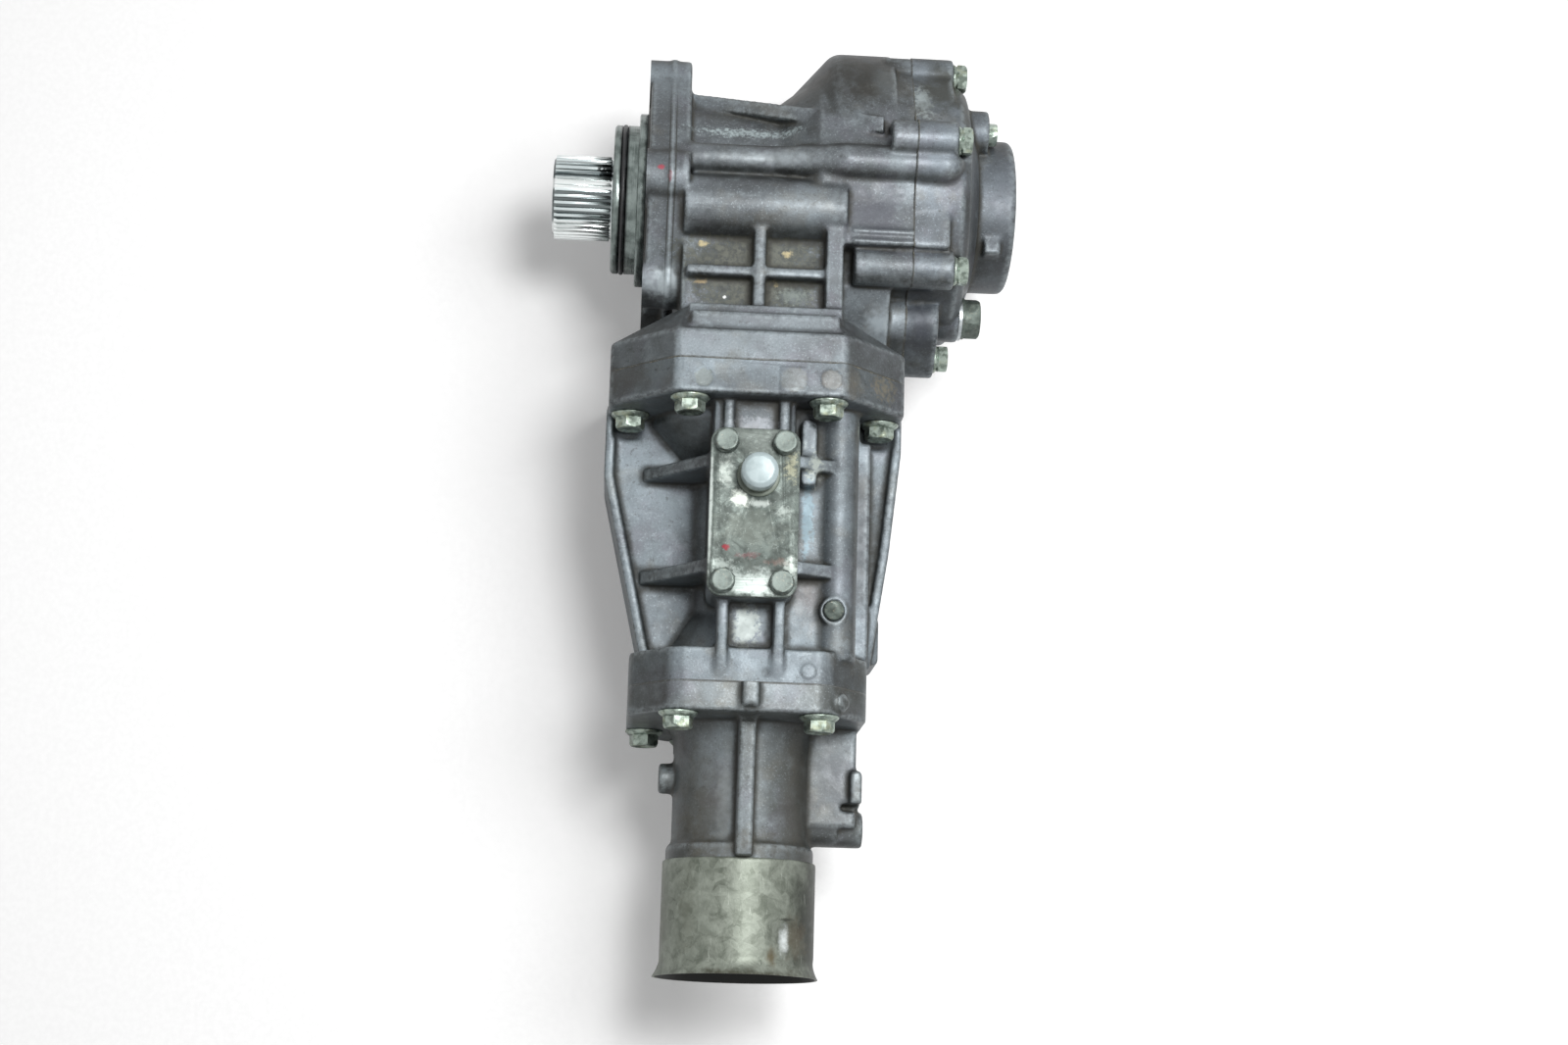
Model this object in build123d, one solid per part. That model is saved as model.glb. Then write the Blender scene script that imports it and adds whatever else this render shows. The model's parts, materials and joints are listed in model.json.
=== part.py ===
"""Transfer case of a compact all-wheel-drive car, in millimetres.

X is the input axis and points from the transaxle to the side cover. The output axis points
along -Y. Z is up, with the part lying on its back. The origin is the point where the input
axis crosses the face that meets the transaxle.
"""

import os
from math import asin, atan, cos, degrees, log, pi, radians, sin, sqrt, tan

from build123d import *

os.makedirs("parts", exist_ok=True)

# Axes and bevel gear pair
OUT_X = 55.0
RING_TEETH = 35
PINION_TEETH = 16
MODULE = 3.1
FACE_WIDTH = 18.0
PRESSURE_ANGLE = 20.0
SPIRAL_ANGLE = 32.0
ADDENDUM = 0.85 * MODULE
DEDENDUM = 1.12 * MODULE
BACKLASH = 0.45
RING_CONE = atan(RING_TEETH / PINION_TEETH)
PINION_CONE = atan(PINION_TEETH / RING_TEETH)
CONE_DISTANCE = MODULE * RING_TEETH / 2 / sin(RING_CONE)
RING_OUTER_R = MODULE * RING_TEETH / 2 + ADDENDUM * cos(RING_CONE)

# Clearances
FIT = 0.02
RUN = 0.08
BOLT_PLAY = 0.25

# Bolts: shank radius, width across flats, head height, flange radius
M8 = (4.0, 12.0, 7.6, 8.9)
M6 = (3.0, 10.0, 4.6, 5.6)
M8_PLAIN = (4.0, 12.0, 6.8, 6.9)

# Input line, distances along X
SHAFT_START = -44.3
SPLINE_END = -17.0
SPLINE_TEETH = 40
SPLINE_TIP_R = 20.25
SPLINE_ROOT_R = 18.9
HALFSHAFT_R = 15.0
PILOT_START = -15.7
PILOT_R = 35.7
PILOT_STEP_R = 41.6
PILOT_STEP = 4.0
PILOT_SEAT = 1.0
PILOT_SEAT_PLAY = 0.3
PILOT_RELIEF = 1.0
PILOT_DEPTH = 6.0
O_RING_X = -10.7
O_RING_WIRE = 1.3
SEAL_JOURNAL_R = 19.5
BEARING_BORE_R = 22.5
BEARING_R = 37.5
BEARING_T = 20.0
LEFT_BEARING_X = 7.0
RING_SEAT_R = 31.0
RING_BACK = 95.0
RING_FLANGE = 9.0
RING_FLANGE_R = 47.0
RING_BOLT_R = 39.0
RING_BOLTS = 8
RIGHT_BEARING_X = 118.0
SHAFT_BODY_R = 27.0
SHAFT_STOP = 141.0

# Transaxle flange
FLANGE_T = 20.0
FLANGE_R = 47.0
FLANGE_RECESS = 1.0
FLANGE_WEB_R = 11.0
BEAD_SPAN = (10.4, 12.8)
BEAD_HEIGHT = 0.9
LUG_R = 13.0
LUG_HOLE_R = 5.3
FLANGE_LUGS = [(51.0, 19.0), (-8.5, 54.5), (-51.0, 33.0), (-34.0, -59.0), (30.0, -56.0)]

# Ring gear housing and side cover
CASE_WALL_R = 49.3
CASE_CAVITY_R = 42.0
CONE_START = 62.0
HOUSING_START = 87.6
CAVITY_PLAY = 2.65446
CAVITY_R = RING_OUTER_R + CAVITY_PLAY
HOUSING_WALL = 4.8
HOUSING_R = CAVITY_R + HOUSING_WALL
CROWN_Y = 16.0
CROWN_R = 60.0
CROWN_END = 116.0
COVER_CROWN_R = 56.5
COVER_X = 124.0
COVER_SEAT = 144.0
COVER_LOBE_R = 9.0
COVER_SPIGOT = 5.0
COVER_BOLTS = [(57.0, 33.5), (12.5, 65.5), (-45.8, 51.5), (-76.0, 10.0),
               (-51.0, -44.0), (-3.0, -63.0), (46.0, -50.0)]
COVER_SEATS = [144.4, 143.0, 143.4, 139.7, 139.7, COVER_SEAT, COVER_SEAT]
LOW_BOLT = COVER_BOLTS[3]
GALLERY_LOW = (2.8, 53.0, 7.3)
GALLERY_HIGH = (1.6, 60.8, 8.3)
GALLERY_BEND = (58.0, 92.0)
DOME_R = 9.6
DOME_X = 137.5
COVER_LUG = (31.0, 30.0)
COVER_LUG_R = 11.0
COVER_LUG_END = 162.0
DRAIN = (-54.8, 8.0)
DRAIN_SEAT = 151.5
FILL_Y = 40.0
FILL_R = 8.0
FILL_SEAT = 56.0
PLUG_FLATS = 17.0
PLUG_HEAD = 9.0
PLUG_DEPTH = 13.0
PLUG_GASKET_T = 1.5
PLUG_GASKET_R = 10.5
BOSS_R = 37.0
BOSS_END = 176.0
SIDE_SEAL_R = 30.0
SIDE_SEAL_X = 162.0
SIDE_SEAL_T = 9.0
HALFSHAFT_JOURNAL_R = 17.5

# Output line, distances back from the input axis
PINION_BORE_R = 15.0
PINION_RACE_R = 31.0
PINION_T = 17.25
FRONT_BEARING = 60.0
SHOULDER = 4.0
SHOULDER_R = 27.0
REAR_CUP = FRONT_BEARING + PINION_T + SHOULDER
CASE_END = 98.5
NUT_START = CASE_END + 0.4
NUT_T = 8.0
NUT_R = 23.0
PINION_SPLINE_R = 12.5
COUPLING_R = 20.0
COUPLING_L = 41.0
COUPLING_GAP = 2.1
COUPLING_START = NUT_START + NUT_T + COUPLING_GAP
COUPLING_END = COUPLING_START + COUPLING_L
PINION_END = COUPLING_START + 19.0
BALL_BEARING = 226.0
BALL_T = 16.0
OUT_SPLINE_R = 14.0
OUT_SPLINE_ROOT_R = 12.8
OUT_SPLINE_TEETH = 24
OUT_SPLINE_START = 296.0
OUT_END = 352.0

# Octagon joint between case and adapter
OCT_W = 68.0
OCT_H = 72.0
OCT_FLAT_X = 38.0
OCT_FLAT_Z = 42.0
OCT_START = 85.0
ADAPTER_FLANGE = 114.6
OCT_FRONT_BOLT = (31.2, 62.5)
OCT_SIDE_BOLT = (57.85, 28.0)

# Adapter housing
ADAPTER_TOP_R = 53.0
ADAPTER_NECK_R = 33.0
ADAPTER_FOOT_R = 44.5
ADAPTER_WALL = 6.0
WEB_HALF_T = 20.5
RIM_HALF_T = 23.5
RIM_W = 4.5
RIB_T = 6.0
CROSS_RIBS = [(-142.0, 50.5), (-190.5, 50.5)]
LONG_RIBS = (-13.4, 11.6)
LONG_RIB_W = 4.8
DECK_Z = 49.0
WING_TOP = 69.0
WING_KNEE = 143.0
WING_FOOT = 49.0
PLATE_X = -1.6
PLATE_Y = 168.8
PLATE_W = 39.8
PLATE_L = 76.0
PLATE_T = 3.0
PLATE_Z = 69.0
GASKET_T = 0.8
PLATE_BOLT_X = PLATE_W / 2 - 6.9
PLATE_BOLT_Y = PLATE_L / 2 - 6.4
PLATE_WINDOW_X = PLATE_W / 2 - 8.9
PLATE_WINDOW_Y = PLATE_L / 2 - 12.0
CAP_Y = 152.5
CAP_R = 8.2
CAP_H = 13.0
GALLERY_X = 38.0
GALLERY_Z = 43.0
GALLERY_R = 9.3
GALLERY_PLUG_X = 36.4
GALLERY_PLUG_Y = 208.0

# Extension housing and dust guard
JOINT_Y = 242.4
SMALL_START = 227.0
SMALL_END = 255.4
SMALL_W = 54.0
SMALL_H = 58.0
SMALL_BOLTS = [(31.3, 49.5), (-31.3, 49.5), (45.5, -18.0), (-45.5, -18.0), (24.0, -49.5), (-24.0, -49.5)]
TAIL_RIB_W = 7.4
TAIL_RIB_H = 3.2
TUBE_R = 31.5
TUBE_BORE_R = 25.5
TUBE_END = 322.0
COLLAR_R = 33.8
COLLAR_START = 311.0
BUSHING = (295.0, 311.0)
BUSHING_R = 24.5
YOKE_R = 22.05
OUT_SEAL_R = 27.5
OUT_SEAL_T = 8.0
GUARD_START = 317.0
GUARD_END = 370.0
GUARD_WALL = 1.2
GUARD_FLARE = 3.1
BRACKET_END = 107.0
EXT_BOSS_Y = 300.5
EXT_BOSS_END = 111.0
EXT_BOSS_R = 8.2
BRACKET_FOOT_R = 11.6

# Frames: the normal of INPUT is +X, that of OUTPUT is -Y, and the second axis of both is Z
INPUT = Plane(origin=(0, 0, 0), x_dir=(0, 1, 0), z_dir=(1, 0, 0))
OUTPUT = Plane(origin=(OUT_X, 0, 0), x_dir=(1, 0, 0), z_dir=(0, -1, 0))
UPWARD = Plane(origin=(OUT_X, 0, 0), x_dir=(1, 0, 0), z_dir=(0, 0, 1))
DOWNWARD = Plane(origin=(OUT_X, 0, 0), x_dir=(1, 0, 0), z_dir=(0, 0, -1))


def turned(plane, points):
    """Revolve (distance, radius) points about a frame's normal."""
    face = make_face(Polyline([(r, 0, d) for d, r in points], close=True))
    return plane.location * revolve(face, Axis.Z)


def tube(plane, start, end, outer, inner):
    """Straight ring between two distances."""
    return turned(plane, [(start, inner), (end, inner), (end, outer), (start, outer)])


def rod(plane, x, y, start, end, radius):
    """Cylinder along a frame's normal, off its axis by x and y."""
    return plane.location * Pos(x, y, (start + end) / 2) * Cylinder(radius, end - start)


def prism(plane, sketch, start, end):
    """Sketch pushed along a frame's normal between two distances."""
    return plane.location * Pos(0, 0, start) * extrude(sketch, end - start)


def block(x0, x1, y0, y1, z0, z1, radius=0):
    """Box between corners, with its edges along Z rounded."""
    box = Pos((x0 + x1) / 2, (y0 + y1) / 2, (z0 + z1) / 2) * Box(x1 - x0, y1 - y0, z1 - z0)
    if radius:
        box = fillet(box.edges().filter_by(Axis.Z), radius)
    return box


def web(circle, other):
    """Sketch of two circles (x, y, radius) and the tangents that join them."""
    edges = [(Pos(x, y) * Circle(r)).edge() for x, y, r in (circle, other)]
    return make_hull(edges)


def octagon(half_w, half_h, flat_x, flat_z, radius=0):
    """Rectangle with cut corners, given by half sizes and half flats."""
    quarter = [(flat_x, half_h), (half_w, flat_z)]
    right = quarter + [(x, -z) for x, z in reversed(quarter)]
    points = right + [(-x, z) for x, z in reversed(right)]
    face = make_face(Polyline(points, close=True))
    return fillet(face.vertices(), radius) if radius else face


def splined(plane, start, end, teeth, tip, root):
    """External spline with straight-sided teeth."""
    step = 2 * pi / teeth
    points = []
    for i in range(teeth):
        for share, radius in ((-0.32, root), (-0.2, tip), (0.2, tip), (0.32, root)):
            angle = (i + share) * step
            points.append((radius * cos(angle), radius * sin(angle)))
    return prism(plane, make_face(Polyline(points, close=True)), start, end)


def bolt(size, length):
    """Flange bolt on Z with its seat at the origin and its head above."""
    shank, flats, head, flange = size
    hexagon = extrude(RegularPolygon(flats / 2, 6, major_radius=False), head)
    dome = Cone(flats * 0.58 + head, flats * 0.5, head, align=(Align.CENTER, Align.CENTER, Align.MIN))
    washer = Cone(flange, flange * 0.82, head * 0.25, align=(Align.CENTER, Align.CENTER, Align.MIN))
    body = Pos(0, 0, -length / 2) * Cylinder(shank, length)
    return (hexagon & dome) + washer + body


def bolts(plane, places, seat, size, length):
    """Separate bolts at the places of a frame, with their heads along its normal."""
    return [plane.location * Pos(x, y, seat) * bolt(size, length) for x, y in places]


def save(name, shapes):
    """Write one node, from one shape or a list of separate ones."""
    if isinstance(shapes, list):
        shapes = Compound(children=[solid for shape in shapes for solid in shape.solids()])
    export_step(shapes, f"parts/{name}.step")


# Bevel gears


def involute(angle):
    """Involute function of an angle in radians."""
    return tan(angle) - angle


def space_points(teeth, cone, distance):
    """One side of a tooth space in its back-cone plane, as (offset, height) from the pitch point."""
    scale = distance / CONE_DISTANCE
    virtual = teeth / cos(cone)
    pitch_r = MODULE * scale * virtual / 2
    base_r = pitch_r * cos(radians(PRESSURE_ANGLE))
    thickness = pi * MODULE * scale / 2 - BACKLASH * scale
    root_r = pitch_r - DEDENDUM * scale
    top_r = pitch_r + ADDENDUM * scale + 1.2
    start_r = max(base_r * 1.0005, root_r + 0.35 * scale)
    points = []
    for i in range(4):
        radius = start_r + (top_r - start_r) * i / 3
        pressure = involute(radians(PRESSURE_ANGLE)) - involute(acos_ratio(base_r, radius))
        half_tooth = thickness / 2 / pitch_r + pressure
        half_space = pi / virtual - half_tooth
        points.append((radius * sin(half_space), radius * cos(half_space) - pitch_r))
    floor = (points[0][0] * 0.72, root_r - pitch_r)
    return floor, points


def acos_ratio(base_r, radius):
    """Pressure angle at a radius of an involute."""
    return atan(sqrt(max(radius * radius - base_r * base_r, 0)) / base_r)


def space_wire(teeth, cone, distance, hand, phase):
    """Closed outline of one tooth space at a cone distance, in the gear's frame."""
    mean = CONE_DISTANCE - FACE_WIDTH / 2
    turn = phase + hand * tan(radians(SPIRAL_ANGLE)) * log(distance / mean) / sin(cone)
    outward = Vector(cos(turn), sin(turn), 0)
    across = Vector(-sin(turn), cos(turn), 0)
    pitch = Vector(0, 0, distance * cos(cone)) + outward * (distance * sin(cone))
    up = outward * cos(cone) - Vector(0, 0, sin(cone))
    floor, flank = space_points(teeth, cone, distance)

    def at(side, point):
        return pitch + across * (side * point[0]) + up * point[1]

    left = [at(-1, p) for p in flank]
    right = [at(1, p) for p in flank]
    return Wire([
        Line(left[-1], right[-1]).edge(),
        Spline(*reversed(right)).edge(),
        Line(right[0], at(1, floor)).edge(),
        Line(at(1, floor), at(-1, floor)).edge(),
        Line(at(-1, floor), left[0]).edge(),
        Spline(*left).edge(),
    ])


def spaces(teeth, cone, hand, phase):
    """Cutters for every tooth space of a bevel gear."""
    near = CONE_DISTANCE - FACE_WIDTH - 4
    far = CONE_DISTANCE + 4
    stations = [near + (far - near) * i / 4 for i in range(5)]
    wires = [space_wire(teeth, cone, d, hand, phase) for d in stations]
    cutter = Solid.make_loft(wires, ruled=False)
    return [Rot(0, 0, 360 * i / teeth) * cutter for i in range(teeth)]


def rim(cone, distance, height):
    """(axial distance, radius) of a point above the pitch cone."""
    return distance * cos(cone) - height * sin(cone), distance * sin(cone) + height * cos(cone)


def gear_profile(cone, back):
    """Turned outline of a bevel gear's toothed part, followed by the points of its back."""
    toe = CONE_DISTANCE - FACE_WIDTH
    heel_scale = 1.0
    toe_scale = toe / CONE_DISTANCE
    points = [
        rim(cone, toe, -(DEDENDUM + 2) * toe_scale),
        rim(cone, toe, ADDENDUM * toe_scale),
        rim(cone, CONE_DISTANCE, ADDENDUM * heel_scale),
        rim(cone, CONE_DISTANCE, -(DEDENDUM + 1.5) * heel_scale),
    ]
    return points + back


def ring_gear():
    """Ring gear, bored for its seat on the shaft and drilled for its bolts."""
    apex = Plane(origin=(OUT_X, 0, 0), x_dir=(0, -1, 0), z_dir=(1, 0, 0))
    back = RING_BACK - OUT_X
    profile = gear_profile(RING_CONE, [(back, 51.0), (back, RING_SEAT_R + FIT), (22.0, RING_SEAT_R + FIT)])
    blank = revolve(make_face(Polyline([(r, 0, d) for d, r in profile], close=True)), Axis.Z)
    gear = apex.location * blank.cut(*spaces(RING_TEETH, RING_CONE, -1, 0))
    holes = [rod(INPUT, x, y, RING_BACK - 14, RING_BACK + 1, 4 + FIT) for x, y in ring_bolt_places()]
    return gear.cut(*holes)


def ring_bolt_places():
    """Places of the ring gear bolts about the input axis."""
    step = 2 * pi / RING_BOLTS
    return [(RING_BOLT_R * cos((i + 0.5) * step), RING_BOLT_R * sin((i + 0.5) * step))
            for i in range(RING_BOLTS)]


def driven_pinion():
    """Pinion with its shaft, in one forging."""
    head = FRONT_BEARING
    profile = gear_profile(PINION_CONE, [
        (head - 1.5, 20.0), (head, 19.0), (head, PINION_BORE_R), (NUT_START, PINION_BORE_R),
        (NUT_START, 14.0), (NUT_START + NUT_T + 2.1, 14.0), (NUT_START + NUT_T + 2.1, 11.0),
        (PINION_END, 11.0), (PINION_END, 0), (CONE_DISTANCE * cos(PINION_CONE) * 0.66, 0),
        (CONE_DISTANCE * cos(PINION_CONE) * 0.66, 10.0)])
    blank = revolve(make_face(Polyline([(r, 0, d) for d, r in profile], close=True)), Axis.Z)
    half_step = pi / PINION_TEETH
    gear = blank.cut(*spaces(PINION_TEETH, PINION_CONE, 1, half_step))
    shaft = OUTPUT.location * gear
    return shaft + splined(OUTPUT, NUT_START + NUT_T + 3.6, PINION_END - 1, 22, PINION_SPLINE_R, 11.5)


# Rolling bearings


class Taper:
    """Taper roller bearing with its wide roller ends at the start of its width."""

    def __init__(self, plane, start, bore, outer, width, facing, roller, count):
        self.plane, self.start, self.facing = plane, start, facing
        self.bore, self.outer, self.width, self.count = bore, outer, width, count
        self.slope = radians(12.5)
        self.mean = (bore + outer) / 2
        self.roller = roller
        self.cup_width = width * 0.8
        self.cone_width = width * 0.94
        self.middle = width * 0.48
        self.apex = self.middle + self.mean / tan(self.slope)
        self.spread = asin(roller / (self.mean / sin(self.slope)))

    def place(self, shape):
        """Move a piece from its own frame to its seat."""
        turn = Rot(0, 0, 0) if self.facing > 0 else Rot(180, 0, 0)
        return self.plane.location * Pos(0, 0, self.start) * turn * shape

    def race(self, z, side):
        """Radius of the cup (side 1) or cone (side -1) raceway at a width."""
        angle = self.slope + side * self.spread
        return (self.apex - z) * tan(angle) + side * RUN / cos(angle)

    def ring(self, points):
        """Turn (distance, radius) points in the bearing's own frame."""
        return self.place(revolve(make_face(Polyline([(r, 0, d) for d, r in points], close=True)), Axis.Z))

    def cup(self):
        """Outer ring."""
        near, far, outer = self.width - self.cup_width, self.width, self.outer - FIT
        chamfered = outer - 1.2
        return self.ring([(near, self.race(near, 1)), (far, self.race(far, 1)), (far, chamfered),
                          (far - 1.2, outer), (near + 0.8, outer), (near, outer - 0.8)])

    def cone(self):
        """Inner ring with its two ribs."""
        near, far, bore = 2.6, self.cone_width - 1.6, self.bore + FIT
        return self.ring([(0, bore), (self.cone_width, bore), (self.cone_width, self.race(far, -1) + 0.9),
                          (far, self.race(far, -1) + 0.9), (far, self.race(far, -1)),
                          (near, self.race(near, -1)), (near, self.race(near, -1) + 2.0),
                          (0, self.race(near, -1) + 2.0)])

    def roller_solid(self, grow=0.0):
        """One roller on its own slanted axis, larger all round by grow."""
        tilt = self.roller * sin(self.slope)
        length = (self.cone_width - 4.2 - 2 * tilt - 0.7) / cos(self.slope)
        reach = self.mean / sin(self.slope)
        big = self.roller * (1 + length / 2 / reach) + grow
        small = self.roller * (1 - length / 2 / reach) + grow
        solid = Cone(big, small, length + 2 * grow)
        centre = (2.6 + self.cone_width - 1.6) / 2
        radius = (self.apex - centre) * tan(self.slope)
        return Pos(radius, 0, centre) * Rot(0, -degrees(self.slope), 0) * solid

    def rollers(self):
        """Separate rollers round the bearing."""
        solid = self.roller_solid()
        return [self.place(Rot(0, 0, 360 * i / self.count) * solid) for i in range(self.count)]

    def cage(self):
        """Pressed cage with a pocket round each roller."""
        near, far = 1.1, self.cone_width + 0.6
        middle = [(self.apex - z) * tan(self.slope) for z in (near, far)]
        ring = revolve(make_face(Polyline([
            (middle[0] + 0.7, 0, near), (middle[1] + 0.7, 0, far),
            (middle[1] - 0.6, 0, far), (middle[0] - 0.6, 0, near)], close=True)), Axis.Z)
        pocket = self.roller_solid(0.2)
        return self.place(ring.cut(*[Rot(0, 0, 360 * i / self.count) * pocket for i in range(self.count)]))

    def write(self, name):
        """Save the four nodes of the bearing."""
        save(f"{name}_cup", self.cup())
        save(f"{name}_cone", self.cone())
        save(f"{name}_rollers", self.rollers())
        save(f"{name}_cage", self.cage())


def ball_bearing():
    """Deep-groove bearing in the adapter's small end, as outer ring, inner ring, balls and cage."""
    middle, mean, ball, count = BALL_BEARING + BALL_T / 2, 23.0, 4.75, 9
    groove = OUTPUT.location * Pos(0, 0, middle) * Torus(mean, ball + RUN)
    outer = tube(OUTPUT, BALL_BEARING, BALL_BEARING + BALL_T, PINION_RACE_R - FIT, mean + 2.6) - groove
    inner = tube(OUTPUT, BALL_BEARING, BALL_BEARING + BALL_T, mean - 2.6, PINION_BORE_R + FIT) - groove
    spots = [Pos(0, 0, middle) * Rot(0, 0, 360 * i / count) * Pos(mean, 0, 0) for i in range(count)]
    balls = [OUTPUT.location * spot * Sphere(ball) for spot in spots]
    pockets = [OUTPUT.location * spot * Rot(0, 90, 0) * Cylinder(ball + 0.2, 8) for spot in spots]
    cage = tube(OUTPUT, middle - 5.8, middle + 5.8, mean + 1.0, mean - 1.0).cut(*pockets)
    return outer, inner, balls, cage


# Castings


def flange_outline(grow, lug_r):
    """Flange with its lugs, and the webs between the three upper ones, larger all round by grow."""
    outline = Circle(FLANGE_R + grow)
    for y, z in FLANGE_LUGS:
        outline += web((0, 0, 30.0), (y, z, lug_r + grow))
    for (y, z), (next_y, next_z) in zip(FLANGE_LUGS[:2], FLANGE_LUGS[1:3]):
        outline += web((y, z, FLANGE_WEB_R + grow), (next_y, next_z, FLANGE_WEB_R + grow))
    return outline


def flange_plate():
    """Five-lug flange that meets the transaxle, with its raised bead."""
    plate = prism(INPUT, flange_outline(0.0, LUG_R - 2.5), FLANGE_RECESS, FLANGE_T)
    bead = prism(INPUT, flange_outline(BEAD_HEIGHT, LUG_R), *BEAD_SPAN)
    lugs = [rod(INPUT, y, z, 0, FLANGE_T, LUG_R) for y, z in FLANGE_LUGS]
    collar = rod(INPUT, 0, 0, 0, FLANGE_T, PILOT_STEP_R + 3)
    return [plate, bead, collar] + lugs


def cover_outline(radius, lobe_r):
    """Ring gear housing outline with a lobe round each cover bolt."""
    outline = Circle(radius)
    for y, z in COVER_BOLTS:
        outline += web((y * 0.5, z * 0.5, 26.0), (y, z, lobe_r - 0.8))
    return outline


def ring_housing():
    """Outside of the barrel and the housing round the ring gear."""
    barrel = turned(INPUT, [(FLANGE_T - 2, 0), (FLANGE_T - 2, CASE_WALL_R), (CONE_START, CASE_WALL_R - 0.8),
                            (HOUSING_START - 7, HOUSING_R), (COVER_X, HOUSING_R), (COVER_X, 0)])
    low_y, low_z = LOW_BOLT
    low = web((low_y + 14, low_z + 9, 14.5), (low_y, low_z, COVER_LOBE_R + 0.4))
    corner = make_face(Polyline([(0, 0, 64), (33.0, 0, 64), (CROWN_R, 0, HOUSING_START),
                                 (CROWN_R, 0, CROWN_END), (0, 0, CROWN_END)], close=True))
    sharp = corner.vertices().sort_by(Axis.X)[-2:].sort_by(Axis.Z)[0]
    crown = INPUT.location * Pos(CROWN_Y, 0, 0) * revolve(fillet(sharp, 9.0), Axis.Z)
    flange = prism(INPUT, cover_outline(HOUSING_R, COVER_LOBE_R), CROWN_END, COVER_X)
    step = INPUT.location * Pos(CROWN_Y - 4, 0, COVER_X - 5.5) * Cylinder(CROWN_R, 11)
    lobes = [rod(INPUT, y, z, CROWN_END - 4, COVER_X, COVER_LOBE_R - 0.4) for y, z in COVER_BOLTS]
    column = rod(INPUT, *COVER_BOLTS[2], 97, COVER_X, COVER_LOBE_R - 0.4)
    return [barrel, crown, flange, step, column, prism(INPUT, low, 115, COVER_X)] + lobes


def case_front():
    """Galleries, bulge, ribs and ledges on the visible side of the case."""
    sections = [(FLANGE_T - 1, GALLERY_LOW), (GALLERY_BEND[0], GALLERY_LOW),
                (GALLERY_BEND[1], GALLERY_HIGH), (COVER_X, GALLERY_HIGH)]
    rings = [INPUT.location * Pos(y, z, x) * Circle(r) for x, (y, z, r) in sections]
    gallery = loft(rings, ruled=True)
    bulge = rod(INPUT, -20.0, 50.5, FLANGE_T - 2, 93, 15.2)
    seam = block(FLANGE_T - 2, 91, -6.4, -2.2, 40, 53.2)
    shelf_left = INPUT.location * Pos(40, 22, FLANGE_T - 1) * Rectangle(7, 22)
    shelf_right = INPUT.location * Pos(20, 52, 109) * Rectangle(8, 24)
    shelf = loft([shelf_left, shelf_right], ruled=True)
    tall = block(88.0 - 4.2, 88.0 + 3.8, -74, -20, 40, 61.5, 2.0)
    mid = block(53.4 - 2.8, 53.4 + 2.8, -74, -24, 40, 60.5, 2.0)
    cross = block(FLANGE_T, 88, -55.2, -50.4, 40, 59.5)
    ledge = block(21.5, 91.6, -84, -70.5, 30, 64)
    pad = block(23, 90, -OCT_START - 1, -75.5, 40, 69.5)
    panel = block(92, COVER_X, -38, -6, 40, 60.6, 1.5)
    lines = [block(96, COVER_X, y - 0.8, y + 0.8, 50, 61.6) for y in (-31.5, -36.5)]
    wedge = Plane(origin=(86, 0, 0), x_dir=(0, 1, 0), z_dir=(1, 0, 0)) * make_face(Polyline([
        (-40, 46), (-54, 46), (-80, 29), (-84, 14), (-84, -20), (-40, -20)], close=True))
    return [gallery, bulge, seam, shelf, tall, mid, cross, ledge, pad, panel, extrude(wedge, 29.5)] + lines


def case_tail():
    """Box round the pinion and the flare out to the octagon joint."""
    box = block(18, 92, -88, 0, -56, 53, 4)
    tunnel = rod(OUTPUT, 0, 0, 20, CASE_END - 3, 40)
    joint = prism(OUTPUT, octagon(OCT_W, OCT_H, OCT_FLAT_X, OCT_FLAT_Z, 3), OCT_START, CASE_END)
    lower = OUTPUT.location * Pos(0, 0, OCT_START) * octagon(OCT_W - 1, OCT_H - 1, OCT_FLAT_X, OCT_FLAT_Z)
    upper = OUTPUT.location * Pos(0, 0, 70) * octagon(41, 56, 33, 44)
    flare = loft([upper, lower], ruled=True)
    back_ribs = [block(x - 3, x + 3, -84, -24, -62, -50) for x in (36, 76)]
    return [box, tunnel, joint, flare] + back_ribs


def case_cavity():
    """Inside of the case: bearing seats, gear space and the pinion's tunnel."""
    seat_end = LEFT_BEARING_X + BEARING_T
    gears = turned(INPUT, [(-1, 0), (-1, BEARING_R), (seat_end, BEARING_R), (seat_end, 33),
                           (seat_end + 4, 33),
                           (seat_end + 4, CASE_CAVITY_R), (CONE_START, CASE_CAVITY_R),
                           (CONE_START + 17, CAVITY_R), (COVER_X + 1, CAVITY_R), (COVER_X + 1, 0)])
    rear_end = CASE_END + 1
    front_end = FRONT_BEARING + PINION_T
    pinion = turned(OUTPUT, [(30, 0), (30, PINION_RACE_R), (front_end, PINION_RACE_R),
                             (front_end, SHOULDER_R),
                             (REAR_CUP, SHOULDER_R), (REAR_CUP, PINION_RACE_R), (rear_end, PINION_RACE_R),
                             (rear_end, 0)])
    pocket = prism(OUTPUT, octagon(54, 54, 32, 32, 4), OCT_START + 3, CASE_END + 1)
    pocket -= rod(OUTPUT, 0, 0, OCT_START, CASE_END + 2, PINION_RACE_R + 7)
    return [gears, pinion, pocket]


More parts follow.
